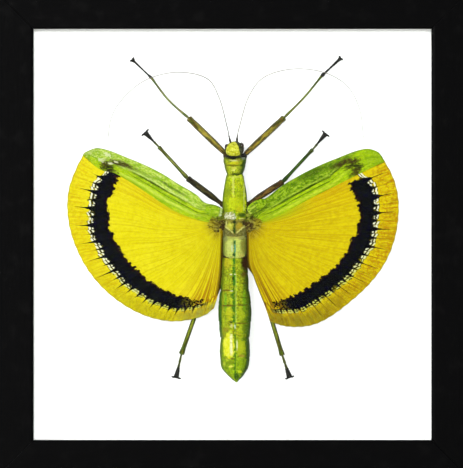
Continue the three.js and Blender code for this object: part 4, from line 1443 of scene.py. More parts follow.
class SPECIMEN_OT_feelers(bpy.types.Operator):
    """Make the two feelers"""

    bl_idname = "specimen.feelers"
    bl_label = "Feelers"

    def execute(self, context):
        body = context.scene.specimen_body
        for label, side in SIDES.items():
            x, y, z = FEELER_AT
            path = Route([on_head((side * x, y, z)), *FEELERS[label]])
            section = self.section(path.length, body.feeler_base / 2, body.feeler_tip / 2)
            thread = tube(path, 10, 420, section)
            settle(thread, f"feeler_{label}", self.finish(label), [f"antenna_{label}"])
        return {"FINISHED"}

    def section(self, length, base, tip):
        """The first joint is thick, the second short, and the rest is a thread of many rings."""
        def section(turn, share):
            along = share * length
            ring = 1 + 0.16 * cos(2 * pi * along / 1.1) ** 8
            radius = between(base, tip, min(1, along / 60)) * ring
            radius = max(radius, 0.42 * hump(along, 0.9, 0.95) ** 0.6, 0.3 * hump(along, 2.35, 0.35))
            across, outwards = on_ring(turn, radius)
            return across, outwards * (1 - 0.2 * (along < 1.8))
        return section

    def finish(self, label):
        skin = Finish(f"feeler_skin_{label}")
        share = skin.pattern()[1]
        rings = (share * 88).from_nearest().rising(0.2, 0.0)
        if label == "left":
            thread = (share.rising(0.05, 0.26), tint(138, 134, 124))
        else:
            thread = (share.rising(0.02, 0.05), tint(158, 154, 144))
        shade = skin.layers(tint(22, 20, 16), thread, (rings * 0.4, tint(150, 142, 124)))
        return skin.surface(shade, 0.45 + 0.1 * rings)


# ---- legs

# Colours of each leg, as 0 to 255: thigh at the hip, in its middle and at the knee, then the shin at the
# knee and towards the foot.
LEG_COLOURS = {
    "front_left": ((60, 46, 36), (150, 134, 50), (84, 84, 36), (150, 160, 92), (120, 130, 76)),
    "front_right": ((98, 74, 38), (136, 122, 40), (84, 86, 32), (128, 142, 52), (58, 64, 32)),
    "middle_left": ((46, 34, 22), (66, 58, 28), (36, 34, 24), (134, 142, 62), (96, 104, 44)),
    "middle_right": ((120, 84, 44), (104, 78, 30), (52, 54, 20), (70, 100, 32), (88, 96, 40)),
    "hind_left": ((84, 88, 18), (104, 124, 22), (92, 112, 20), (128, 138, 30), (76, 86, 18)),
    "hind_right": ((84, 88, 18), (104, 122, 22), (88, 108, 20), (126, 132, 36), (80, 86, 22)),
}


def leg_skin(name, first, middle, last, streak):
    """Leg skin whose colour changes along the leg, mottled green and brown, with lengthwise streaks and
    small dark specks. Its edges and one side are darkened as painted shade, and a pale line beside its
    middle is a painted highlight."""
    skin = Finish(name, 0.12)
    turn, share = skin.pattern()
    streaks = skin.noise(skin.vector(turn * 12, share * 4.5), 1.0, 4, 0.5)
    cloud = skin.grain(0.8, 3, 0.4)
    # edge is where painted shade falls at the sides of the leg
    edge = abs(turn - 0.5 + (cloud - 0.5) * 0.25).rising(0.07, 0.19)
    specks = skin.cells(skin.place(), 2.2).rising(0.24, 0.08)
    ridge = (turn * 5).from_nearest().rising(0.1, 0.02)
    dark = scaled(middle, 0.14)
    shade = skin.layers(
        first,
        (share.rising(0.08, 0.36), middle),
        (share.rising(0.7, 0.93), last),
        (cloud.rising(0.5, 0.56) * 0.8, scaled(middle, 0.38, 0.78, 0.4)),
        (cloud.rising(0.46, 0.4) * 0.7, scaled(middle, 0.85, 0.46, 0.5)),
        (streaks.rising(0.5, 0.6) * 0.6, streak),
        (streaks.rising(0.5, 0.42) * 0.85, dark),
        (ridge * 0.35, streak),
        # painted shade at the edges and down one side, then a painted highlight beside the middle
        (edge * 0.75, dark),
        ((turn + (cloud - 0.5) * 0.3).rising(0.55, 0.62) * (0.3 + share.near(0.5, 0.5) * 0.2), dark),
        ((turn + (cloud - 0.5) * 0.2).near(0.46, 0.05) * share.near(0.5, 0.5) * 0.75, streak),
        (share.rising(0.3, 0.05) * cloud.rising(0.44, 0.52) * 0.7, dark),
        (specks * 0.7, dark),
    )
    return skin.surface(shade, 0.4 + 0.2 * streaks, streaks - specks * 0.4, 0.1)


def foot_skin(name, ankle, end, dark, shin_colour):
    """Dark horny skin, which begins in the colour of the shin on the four rear legs."""
    skin = Finish(f"foot_skin_{name}", 0.2)
    x, z = skin.in_plane(ankle.x, ankle.z)
    cloud = skin.grain(1.2, 4)
    share = (x * x + z * z) ** 0.5 / (end - ankle).length
    start = share + (cloud - 0.5) * 0.4
    green_to = (0.75, 0.4) if "hind" in name else (0.5, 0.1)
    shade = skin.layers(
        dark,
        (cloud.rising(0.4, 0.7), scaled(dark, 2.0)),
        (start.rising(*green_to) * (0.0 if "front" in name else 0.95), shin_colour),
    )
    return skin.surface(shade, 0.4 + 0.15 * cloud, cloud, 0.04)


def ridged(turn, radius, sides, sharpness, teeth=0.0):
    """A point on the section of a ridged limb."""
    corner = abs(((turn * sides) % 1) - 0.5) * 2
    return on_ring(turn, radius * (1 - sharpness * (1 - corner ** 2)) + teeth * corner ** 12)


class SPECIMEN_OT_legs(bpy.types.Operator):
    """Make the six legs: hips, thighs, shins and feet"""

    bl_idname = "specimen.legs"
    bl_label = "Legs"

    def execute(self, context):
        legs = context.scene.specimen_legs
        hip_horn = horn("hip_horn", tint(44, 36, 18), tint(92, 78, 34))
        hips = []
        for name, joints in LEGS.items():
            hip, knee, ankle, end = [Vector(joint) for joint in joints]
            pair = name.split("_")[0]
            colours = [tint(*colour) for colour in LEG_COLOURS[name]]
            hips.append(self.hip(hip, knee, HIP_INWARDS[pair]))
            thigh = leg_skin(f"thigh_skin_{name}", *colours[:3], scaled(colours[1], 1.7))
            settle(self.thigh(hip, knee, legs.thigh), f"thigh_{name}", thigh, [f"femur_{name}"])
            shin = leg_skin(f"shin_skin_{name}", colours[3], colours[3], colours[4],
                            scaled(colours[3], 1.5))
            bow = Vector(FRONT_SHIN_BOW.get(name, (0, 0, 0)))
            radius = legs.shin * SHIN_SHARES[pair]
            settle(self.shin(knee, ankle, bow, radius), f"shin_{name}", shin, [f"tibia_{name}"])
            toe = legs.toe * TOE_SHARES[name]
            spread = 0.55 if pair == "front" else 1.0
            foot = foot_skin(name, ankle, end, legs.foot, colours[4])
            settle(self.foot(ankle, end, toe, spread), f"foot_{name}", foot, [f"tarsus_{name}"])
        settle(merge(*hips), "hips", hip_horn)
        return {"FINISHED"}

    def hip(self, hip, knee, inwards):
        """The two short joints between the body and the thigh."""
        side = 1 if hip.x > 0 else -1
        x, y, z = inwards
        inner = hip + Vector((side * x, y, z))
        path = Route([inner, inner.lerp(hip, 0.6), hip, hip.lerp(knee, 0.05)])

        def section(turn, share):
            radius = 0.95 - 0.25 * share + 0.12 * hump(share, 0.35, 0.12) - 0.16 * hump(share, 0.68, 0.06)
            return ridged(turn, radius, 4, 0.05)
        return tube(path, 24, 30, section)

    def thigh(self, hip, knee, radius):
        """Angular, narrow at the hip, with a row of small teeth along its ridges and knee lobes."""
        path = Route([hip, hip.lerp(knee, 0.5), knee])
        narrow = 0.82 if hip.z > 20 else 0.62

        def section(turn, share):
            swell = between(narrow, 1, smooth(share, 0, 0.3)) * (1 - 0.1 * smooth(share, 0.75, 0.9))
            knee_lobe = 0.12 * hump(share, 0.965, 0.03)
            end = 1 - 0.35 * smooth(share, 0.985, 1.0)
            tooth = 0.07 * max(0, cos(2 * pi * share * 13)) ** 3 * smooth(share, 0.2, 0.3)
            return ridged(turn, radius * (swell + knee_lobe) * end, 5, 0.14, tooth)
        return tube(path, 40, 110, section)

    def shin(self, knee, ankle, bow, radius):
        """Thin and ridged, bent in at the knee and a little wider at the ankle."""
        path = Route([knee - (ankle - knee).normalized() * 0.35, knee.lerp(ankle, 0.5) + bow, ankle])

        def section(turn, share):
            swell = 1.0 - 0.25 * smooth(share, 0.05, 0.3) + 0.2 * smooth(share, 0.88, 0.98)
            bend = -0.25 * hump(share, 0.035, 0.02)
            tooth = 0.05 * max(0, cos(2 * pi * share * 21)) ** 4
            return ridged(turn, radius * (swell + bend), 4, 0.13, tooth)
        return tube(path, 24, 110, section)

    def foot(self, ankle, end, radius, spread):
        """Five joints with pads, wider towards the end, and two claws beside a soft pad."""
        along = (end - ankle).normalized()
        aside = along.cross(Vector((0, 1, 0))).normalized()
        out = Vector((0, -1, 0))
        marks = (0, 0.4, 0.56, 0.69, 0.8, 1.0)  # where the joints of the foot begin and end

        def section(turn, share):
            k = next(i for i in range(5) if share <= marks[i + 1])
            inside = (share - marks[k]) / (marks[k + 1] - marks[k])
            swell = 0.7 + 0.35 * inside ** 2 * (1 - smooth(inside, 0.9, 1.0) * 0.6)
            flare, knot = (0.4, 0.9) if spread < 1 else (0.95, 0)
            swell += flare * smooth(share, 0.45, 0.95) + knot * hump(share, 0.08, 0.1)
            across, outwards = on_ring(turn, radius)
            pad = 0.3 * hump(inside, 0.85, 0.2) * (outwards < -0.3 * radius)
            return across * swell * 1.15, outwards * (swell + pad)

        def claw_section(turn, share):
            return on_ring(turn, 0.46 * (1.02 - share) ** 0.4)
        pieces = [tube(Route([ankle - along * 0.3, ankle.lerp(end, 0.5), end]), 16, 90, section)]
        for side in (-1, 1):
            claw = Route([
                end - along * 0.3 + aside * side * 0.15,
                end + along * 0.4 + aside * side * 0.75 * spread + out * 0.22,
                end + along * 0.5 + aside * side * 1.3 * spread + out * 0.05,
                end + along * 0.3 + aside * side * 1.7 * spread - out * 0.25,
            ])
            pieces.append(tube(claw, 12, 28, claw_section))
        pieces.append(lump(end + along * 0.15, (0.7 * spread, 0.4, 0.6), None, 20, 12))
        return merge(*pieces)


# ---- wings


class Wing:
    """The outlines of one hind wing, as smooth functions of the angle or distance at its hinge."""

    def __init__(self, label):
        outline = WINGS[label]
        self.label = label
        self.side = SIDES[label]
        self.root = outline["leading"][0][0]
        self.leading = through(outline["leading"])
        self.border = through(outline["border"])
        self.margin = through(outline["margin"])
        self.inner = through(outline["inner"])
        self.inside = through(outline["band_inside"])
        self.outside = through(outline["band_outside"])
        self.vein = through(VEIN_ANGLES[label])
        self.tip = outline["tip"]
        self.tuck = outline["tuck"]

    def point(self, radius, angle, y):
        turn = radians(angle)
        return Vector((self.side * (HINGE_OUT + radius * sin(turn)), y, radius * cos(turn)))

    def depth(self, angle, share):
        """Depth of the wing's surface at a share of the way from the hinge to the margin."""
        at_margin = between(WING_Y_SIDE, WING_Y_REAR, smooth(angle, 125, 155))
        return between(WING_Y_ROOT, at_margin, share)

    def fan_point(self, vein, band, pleat):
        """A point of the fan by its vein number and its band measure: -1 at the root, 0 and 1 at the
        edges of the dark band, and 2 at the margin."""
        number = min(vein, VEINS)
        nominal = self.vein(number)
        inside, outside = self.inside(nominal), self.outside(nominal)
        reach = self.margin(nominal) - SCALLOP * (1 - cos(2 * pi * number))
        if band < 0:
            radius = between(FAN_START, inside, band + 1)
        elif band < 1:
            radius = between(inside, outside, band)
        else:
            radius = between(outside, reach, band - 1)
        share = (nominal - self.vein(0)) / (self.vein(VEINS) - self.vein(0))
        edge = min(radius, outside)
        bent = (1 - smooth(share, 0, 0.07)) + smooth(share, 0.9, 1)
        angle = between(self.border(edge) - FAN_OVER, self.inner(edge), share) * (1 - bent)
        angle += between(self.border(radius) - FAN_OVER, self.inner(radius), share) * bent
        fold = pleat * min(1, radius / FULL_PLEAT) * cos(pi * number)
        ridge = -0.05 * hump(abs(number - round(number)), 0, 0.06)
        at = self.point(radius, angle, self.depth(angle, radius / reach) + fold + ridge)
        tucked = max(0, vein - VEINS)
        inwards = tucked * (1 - smooth(radius, self.tuck * 0.7, self.tuck))
        x, y, z = TUCKED_TO
        return at + Vector((self.side * x, y, z)) * inwards


def fan_skin(wing, settings):
    """The pleated membrane. The UV map holds the vein number and the band measure."""
    skin = Finish(f"fan_skin_{wing.label}", 0.03)
    left = wing.side < 0
    vein, band = skin.pattern()
    x, z = skin.in_plane(wing.side * HINGE_OUT)
    reach = (x * x + z * z) ** 0.5
    number = (vein + 0.5).floor()
    half = (vein * 2).floor()
    long_vein = (number * 0.5).from_nearest() * 2  # the odd veins carry the long thorns
    chance = skin.chance(number + 40 * wing.side)
    half_chance = skin.chance(half + 90 * wing.side)
    aside = vein.from_nearest() * reach * VEIN_SPACING  # distance from the vein, in millimetres
    aside_middle = (0.5 - vein.from_nearest()) * reach * VEIN_SPACING
    streaks = skin.noise(skin.vector(vein * 3.1, band * 0.9, 3.0 * wing.side), 1.0, 6, 0.3)
    fine = skin.grain(1.1, 4)
    crumbs = skin.grain(2.0, 2)
    cloud = skin.grain(0.16, 3)
    yellow = settings.left_yellow if left else settings.right_yellow
    coats = membrane_coats(skin, wing.label, vein, band, reach, streaks, cloud, fine, crumbs)

    # veins, and the fine net between them
    vein_line = aside.rising(0.15, 0.03)
    middle_line = aside_middle.rising(0.12, 0.02) * reach.rising(9, 16)
    net = (reach * 1.1 + 0.5 * half_chance).from_nearest().rising(0.09, 0.02)
    # the right fan's veins are darker, as painted shade
    faint = tint(206, 176, 8) if left else tint(186, 148, 8)
    coats += [
        (vein_line * (0.22 + 0.3 * chance), faint),
        (middle_line * 0.16, faint),
        (net * 0.12, faint),
        (band.rising(1.955, 1.985) * 0.6, tint(176, 172, 40)),
    ]

    # small pale cells outside the band, in two rows between the threads of a black net
    net_width = 0.27 - 0.03 * vein.rising(12, 22)
    edge = 1 - (1.5 if left else 0.9) * 0.3 * ((1.8 - vein) / 1.8).at_least(0)
    cell_chance = skin.chance(half + 30 * wing.side)
    slant = (vein * 2 - half - 0.5) * (half_chance - 0.3) * 0.6
    outside = (band - edge) / net_width + slant
    ragged = outside.rising(-0.15, 0.0) * (outside - 0.35 * half_chance).rising(0.95, 0.8)
    threads = ragged * (fine + 0.24 - 0.3 * outside).rising(0.36, 0.54)
    inner_row = outside.near(0.27 + 0.12 * (cell_chance - 0.5), 0.16 + 0.1 * half_chance)
    outer_row = outside.near(0.76 + 0.2 * (half_chance - 0.5), 0.16 + 0.12 * cell_chance)
    parted = aside_middle.rising(0.04, 0.14).at_least(vein.rising(7, 5))
    pane = inner_row.rising(0.25, 0.5) * aside.rising(0.3, 0.55)
    pane = pane.at_least((outer_row * 1.1).rising(0.25, 0.5) * aside.rising(0.2, 0.4) * parted)
    keep = (fine + 0.36 * half_chance + 0.2 * cell_chance).rising(0.54, 0.64) * vein.rising(26, 24.6)
    yellower = (vein + outside * 4).rising(13, 22) if left else (vein + outside * 5).rising(8, 18)
    cell = skin.mix(yellower * 0.9, settings.cells, tint(206, 212, 70))
    coats += [
        (threads * vein.rising(26.5, 25) * 0.92, settings.band),
        (pane * keep, cell),
    ]

    # the dark band: a compact inner edge in small steps, and a thorn along each vein outside
    even_band = band.at_least(0) + band.at_most(0) * 7.5  # in widths of the band, on both sides of its edge
    step = (skin.chance((vein * 2.6).floor() + 17 * wing.side) - 0.5) * 0.22
    inner = step + (fine - 0.5) * 0.5
    outer = edge - 0.02 + (fine - 0.5) * 0.16
    even = 0.3 + 0.16 * chance + 0.18 * vein.rising(11, 14)
    length = even + long_vein * vein.rising(15.5, 13.5) * vein.rising(-0.4, 2.4) * (0.46 - 0.1 * chance)
    length = length * (1 - (0.0 if left else 0.4) * vein.rising(7, 13))
    thorn = EULER ** (aside * (-3.0 - 0.8 * half_chance)) * length * vein.rising(26, 24.5)
    small = EULER ** (aside_middle * -6) * (0.16 + 0.16 * half_chance)
    wedge = (1 - aside / ((1.1 + 0.4 * chance) * (1 - 0.5 * vein.rising(5, 11))))
    wedge = wedge * (0.2 + 0.26 * long_vein * vein.rising(16, 12)) * vein.rising(24, 20)
    outer = outer + thorn.at_least(small).at_least(wedge)
    first = 0.05 if left else 0.62
    start = (vein + (fine - 0.5) * 0.5).rising(first - 0.12, first + 0.12)
    frayed = (vein + (fine - 0.5) * 3.2).rising(25.4, 24.8)
    broken = 1 - vein.rising(21.5, 24.5) * crumbs.rising(0.5, 0.56) * 0.9
    dark = (even_band - inner).rising(-0.05, 0.05) * (band - outer).rising(0.03, -0.03)
    dark = dark * start * frayed * broken
    coats += [
        (dark, settings.band),
        (dark * fine.rising(0.52, 0.58) * 0.6, tint(8, 6, 40)),
        (dark * crumbs.rising(0.54, 0.6) * 0.7, tint(26, 34, 22)),
        (dark * (even_band - inner).rising(0.3, 0.05) * crumbs.rising(0.46, 0.56) * 0.7, tint(54, 22, 14)),
    ]
    if not left:
        tail = aside.rising(0.2, 0.04) * (band - 1.2).rising(-0.1, 0.1) * band.rising(1.97, 1.5)
        coats.append((tail * (0.35 + 0.65 * long_vein) * vein.rising(23, 18), tint(84, 52, 12)))
    height = vein_line + net * 0.3 + streaks * 0.5 + middle_line * 0.4
    return skin.surface(skin.layers(yellow, *coats), 0.45 + 0.18 * streaks, height, 0.06)


# Pigments of each fan, as 0 to 255: light, deep, orange, brown, grey and dull. Those of the right fan are
# darker, as painted shade.
PIGMENTS = {
    "left": (
        (246, 236, 40), (208, 190, 14), (204, 156, 16), (150, 96, 12), (142, 152, 76), (182, 174, 16),
    ),
    "right": (
        (236, 218, 18), (190, 158, 12), (184, 126, 12), (122, 78, 14), (140, 132, 30), (172, 150, 14),
    ),
}


def membrane_coats(skin, label, vein, band, reach, streaks, cloud, fine, crumbs):
    """The pigment of the membrane, beside its plain yellow, and the painted shade of the fold tucked beside
    the body: each coat's share and colour.
    """
    left = label == "left"
    light, deep, orange, brown, grey, dull = [tint(*colour) for colour in PIGMENTS[label]]
    front = vein.rising(4.2, 0.4) * band.near(-0.25, 0.85) * 0.55
    rear = vein.rising(18.5, 26.5) * band.rising(1.9, 1.1) * band.rising(-0.85, 0.1)
    rim = band.rising(1.1, 1.6)
    panel = skin.noise(skin.vector(vein * 1.7, band * 2.0, 5.0), 1.0, 4, 0.4)
    rays = skin.noise(skin.vector(vein * 4.5, band * 1.1, 2.0), 1.0, 4, 0.2)
    root = reach.rising(7.0, 2.6)
    radial = skin.noise(skin.vector(vein * 0.9, reach * 0.3, 9.0), 1.0, 4, 0.6)
    # the fold tucked beside the body, painted dark as the shade in the gap between wing and body
    fold = (vein + (streaks - 0.5) * 0.5).rising(26.5, 27.0) * band.rising(0.75, 0.3)
    green = (vein + (fine - 0.5) * 1.6).rising(1.2 if left else 3.4, 0.0) * reach.rising(26, 12)
    corner = (vein.rising(21, 26.6) if left else vein.rising(14, 22)) * rim
    lower = vein.rising(10, 20) * rim
    return [
        (cloud.rising(0.42, 0.66) * 0.5, light),
        (streaks.rising(0.45, 0.64) * (0.4 if left else 0.5), deep),
        (fine.rising(0.5, 0.6) * 0.4, deep),
        (fine.rising(0.44, 0.36) * 0.3, light),
        (front * (0.2 + 0.5 * streaks.rising(0.4, 0.6)), orange),
        (vein.rising(12, 26) * band.rising(-0.1, -0.7) * 0.4, dull),
        (rear * (0.15 + 0.8 * streaks.rising(0.44, 0.56)), orange),
        (rear * vein.rising(20.0, 25.0) * streaks.rising(0.44, 0.54) * (0.75 if left else 1.0), brown),
        (rim * rays.rising(0.47, 0.6) * (0.4 if left else 0.7), orange),
        (rim * rays.rising(0.45, 0.36) * 0.5, light),
        (rim * panel.rising(0.52, 0.64) * (0.05 if left else 0.3), brown),
        (rim * fine.rising(0.5, 0.58) * (0.1 if left else 0.5), orange),
        (rim * crumbs.rising(0.52, 0.6) * 0.22, orange if left else brown),
        (lower * (0.55 if left else 0.65), dull),
        (lower * crumbs.rising(0.5, 0.58) * 0.5, tint(140, 134, 20)),
        (corner * (0.3 + 0.5 * streaks.rising(0.4, 0.6)), grey),
        (corner * panel.rising(0.5, 0.6) * 0.5, brown),
        (green * 0.85, tint(160, 190, 24)),
        (root * (0.25 + 0.7 * radial.rising(0.46, 0.56)), tint(92, 70, 20)),
        (root * radial.rising(0.46, 0.4) * 0.6, tint(204, 194, 90)),
        # painted shade on the tucked fold
        (fold * 0.95, tint(52, 34, 12)),
    ]


# Blots on the strips: place across and along them, half-sizes, colour as 0 to 255, and strength.
BROWN = (66, 54, 18)
DARK = (28, 24, 12)
PALE = (238, 242, 190)
STRIP_MARKS = {
    "left": (
        (0.38, 0.52, 0.12, 0.075, BROWN, 1.0),
        (0.5, 0.575, 0.12, 0.05, BROWN, 1.0),
        (0.7, 0.63, 0.2, 0.05, BROWN, 1.0),
        (0.76, 0.6, 0.14, 0.03, DARK, 0.8),
        (0.92, 0.59, 0.14, 0.06, DARK, 1.0),
        (0.57, 0.6, 0.06, 0.018, PALE, 0.95),
        (0.43, 0.57, 0.05, 0.016, PALE, 0.95),
        (0.22, 0.65, 0.1, 0.03, PALE, 0.8),
        (0.57, 0.68, 0.1, 0.03, PALE, 0.7),
        (0.27, 0.25, 0.05, 0.09, (66, 100, 14), 0.8),
        (0.36, 0.4, 0.05, 0.06, (96, 136, 20), 0.6),
    ),
    "right": (
        (0.28, 0.54, 0.13, 0.09, BROWN, 1.0),
        (0.42, 0.6, 0.12, 0.055, BROWN, 1.0),
        (0.55, 0.57, 0.1, 0.05, DARK, 0.95),
        (0.74, 0.61, 0.16, 0.042, DARK, 1.0),
        (0.88, 0.575, 0.15, 0.05, BROWN, 1.0),
        (0.15, 0.36, 0.12, 0.08, (62, 92, 10), 0.8),
        (0.3, 0.975, 0.3, 0.02, DARK, 0.8),
    ),
}


def strip_skin(wing, settings):
    """The stiff leaf along the front of the wing. The UV map runs across it from the front edge and
    along it from the hinge."""
    skin = Finish(f"strip_skin_{wing.label}", 0.06)
    left = wing.side < 0
    across, along = skin.pattern()
    streaks = skin.noise(skin.vector(across * 11, along * 9, wing.side), 1.5, 5, 0.6)
    mottle = skin.noise(skin.vector(across * 12, along * 30, 4.0), 1.0, 5, 0.7)
    crumbs = skin.grain(1.9, 3)
    net = skin.cells(skin.vector(across * 11, along * 34), 1.0, "DISTANCE_TO_EDGE").rising(0.14, 0.02)
    cloud = skin.grain(0.24, 3, 0.5)
    wave = (streaks - 0.5) * 0.07
    if left:
        fold = 0.49 + (along - 0.2).at_least(0) * 0.3 + wave
        creased = along.rising(0.05, 0.2) * along.rising(0.5, 0.44)
        pale, deep, light = tint(202, 226, 80), tint(134, 180, 22), tint(228, 240, 156)
        lower, shade, line = tint(190, 218, 16), tint(136, 178, 12), tint(216, 234, 88)
    else:
        fold = 0.59 - (along - 0.42).at_least(0) * 2.2 + wave
        creased = along.rising(0.04, 0.14) * along.rising(0.6, 0.5)
        pale, deep, light = tint(152, 190, 22), tint(72, 114, 8), tint(196, 218, 72)
        lower, shade, line = tint(190, 222, 16), tint(142, 184, 10), tint(214, 234, 56)
    off = across - fold
    upper = off.rising(0.03, -0.03)
    under = 1 - upper
    tip = along.rising(0.66, 0.82)
    vein = off.near(0.15, 0.028) * along.rising(0.03, 0.1) * along.rising(0.5, 0.42)
    coats = [
        (upper, pale),
        (upper * cloud.rising(0.5, 0.6) * along.rising(0.2, 0.4) * 0.5, light if left else deep),
        (upper * mottle.rising(0.48, 0.56) * 0.75, deep),
        (upper * mottle.rising(0.45, 0.37) * (0.35 + along) * 0.7, light),
        (upper * crumbs.rising(0.54, 0.59) * 0.7, deep),
        (upper * crumbs.rising(0.44, 0.39) * (0.3 + along) * 0.6, light),
        (under * streaks.rising(0.46, 0.58) * 0.8, shade),
        (under * mottle.rising(0.5, 0.58) * 0.5, shade),
        (under * crumbs.rising(0.44, 0.38) * 0.5, line),
        (off.near(0.3, 0.1) * along.rising(0.03, 0.12) * along.rising(0.6, 0.45) * 0.8, line),
        (vein * 0.85, tint(50, 76, 10)),
        (off.near(0.42, 0.04) * along.rising(0.12, 0.2) * along.rising(0.6, 0.4) * 0.6, shade),
        (tip * (0.7 * streaks.rising(0.47, 0.58) + (0 if left else 0.3)), shade),
        (tip * crumbs.rising(0.46, 0.4) * 0.4, light),
        (off.near(0.0, 0.055) * creased * (0.65 + along.near(0.3, 0.16) * 0.35), tint(20, 36, 4)),
        (off.near(-0.08, 0.04) * creased * 0.6, light),
        (net * 0.3, deep),
        (across.rising(0.05, 0.01) * 0.5, tint(110, 148, 40)),
        (along.rising(0.14, 0.02) * mottle.rising(0.4, 0.6) * 0.6, tint(90, 96, 24)),
        (tip * across.rising(0.93, 0.98) * 0.7, tint(70, 96, 14)),
    ]
    for *oval, colour, strength in STRIP_MARKS[wing.label]:
        far = from_oval(across, along, *oval) + (mottle - 0.5) * 2.2 + (crumbs - 0.5) * 2.4
        share = far.rising(1.35, 0.55) * (0.7 + 0.3 * crumbs.rising(0.42, 0.5)) * strength
        coats.append((share, tint(*colour)))
    height = mottle * 0.6 + net * 0.5 + crumbs * 0.4 - off.near(0.0, 0.05) * creased
    return skin.surface(skin.layers(lower, *coats), 0.5 + 0.2 * mottle, height, 0.14)


class SPECIMEN_OT_wings(bpy.types.Operator):
    """Make the hind wings: a pleated fan and a stiff strip on each side"""

    bl_idname = "specimen.wings"
    bl_label = "Hind wings"

    def execute(self, context):
        settings = context.scene.specimen_wings
        for label in SIDES:
            wing = Wing(label)
            fan = settle(self.fan(wing, settings.pleat), f"fan_{label}", fan_skin(wing, settings),
                         [f"hindwing_fan_{label}"], closed=False)
            thicken(fan, settings.membrane)
            strip = settle(self.strip(wing), f"strip_{label}", strip_skin(wing, settings),
                           [f"hindwing_strip_{label}"], closed=False)
            thicken(strip, settings.membrane * 2)
        return {"FINISHED"}

    def fan(self, wing, pleat):
        veins = VEINS + TUCKED_VEINS

        def measures(u, v):
            """Rows are closer together across the dark band and the rim."""
            band = between(-1, 0, v / 0.5) if v < 0.5 else between(0, 2, (v - 0.5) / 0.5)
            return u * veins, band

        def place(u, v):
            return wing.fan_point(*measures(u, v), pleat)
        return loft(int(veins * COLUMNS_PER_VEIN), 96, place, measures)

    def strip(self, wing):
        def place(across, along):
            radius = between(wing.root * 0.3, wing.tip - 0.1, sin(pi / 2 * along))
            border = wing.border(radius) + STRIP_OVER
            leading = min(wing.leading(radius), border - 0.8)
            angle = between(leading, border, across)
            camber = 0.45 * sin(pi * across) * sin(pi * along)
            fold = 0.22 * hump(across, 0.5, 0.06) * smooth(along, 0.1, 0.3) * (1 - smooth(along, 0.8, 0.95))
            rib = 0.1 * sum(hump(across, at, 0.02) for at in (0.03, 0.22, 0.74, 0.88))
            return wing.point(radius, angle, wing.depth(angle, radius / wing.tip) - camber + fold - rib)
        return loft(64, 130, place)


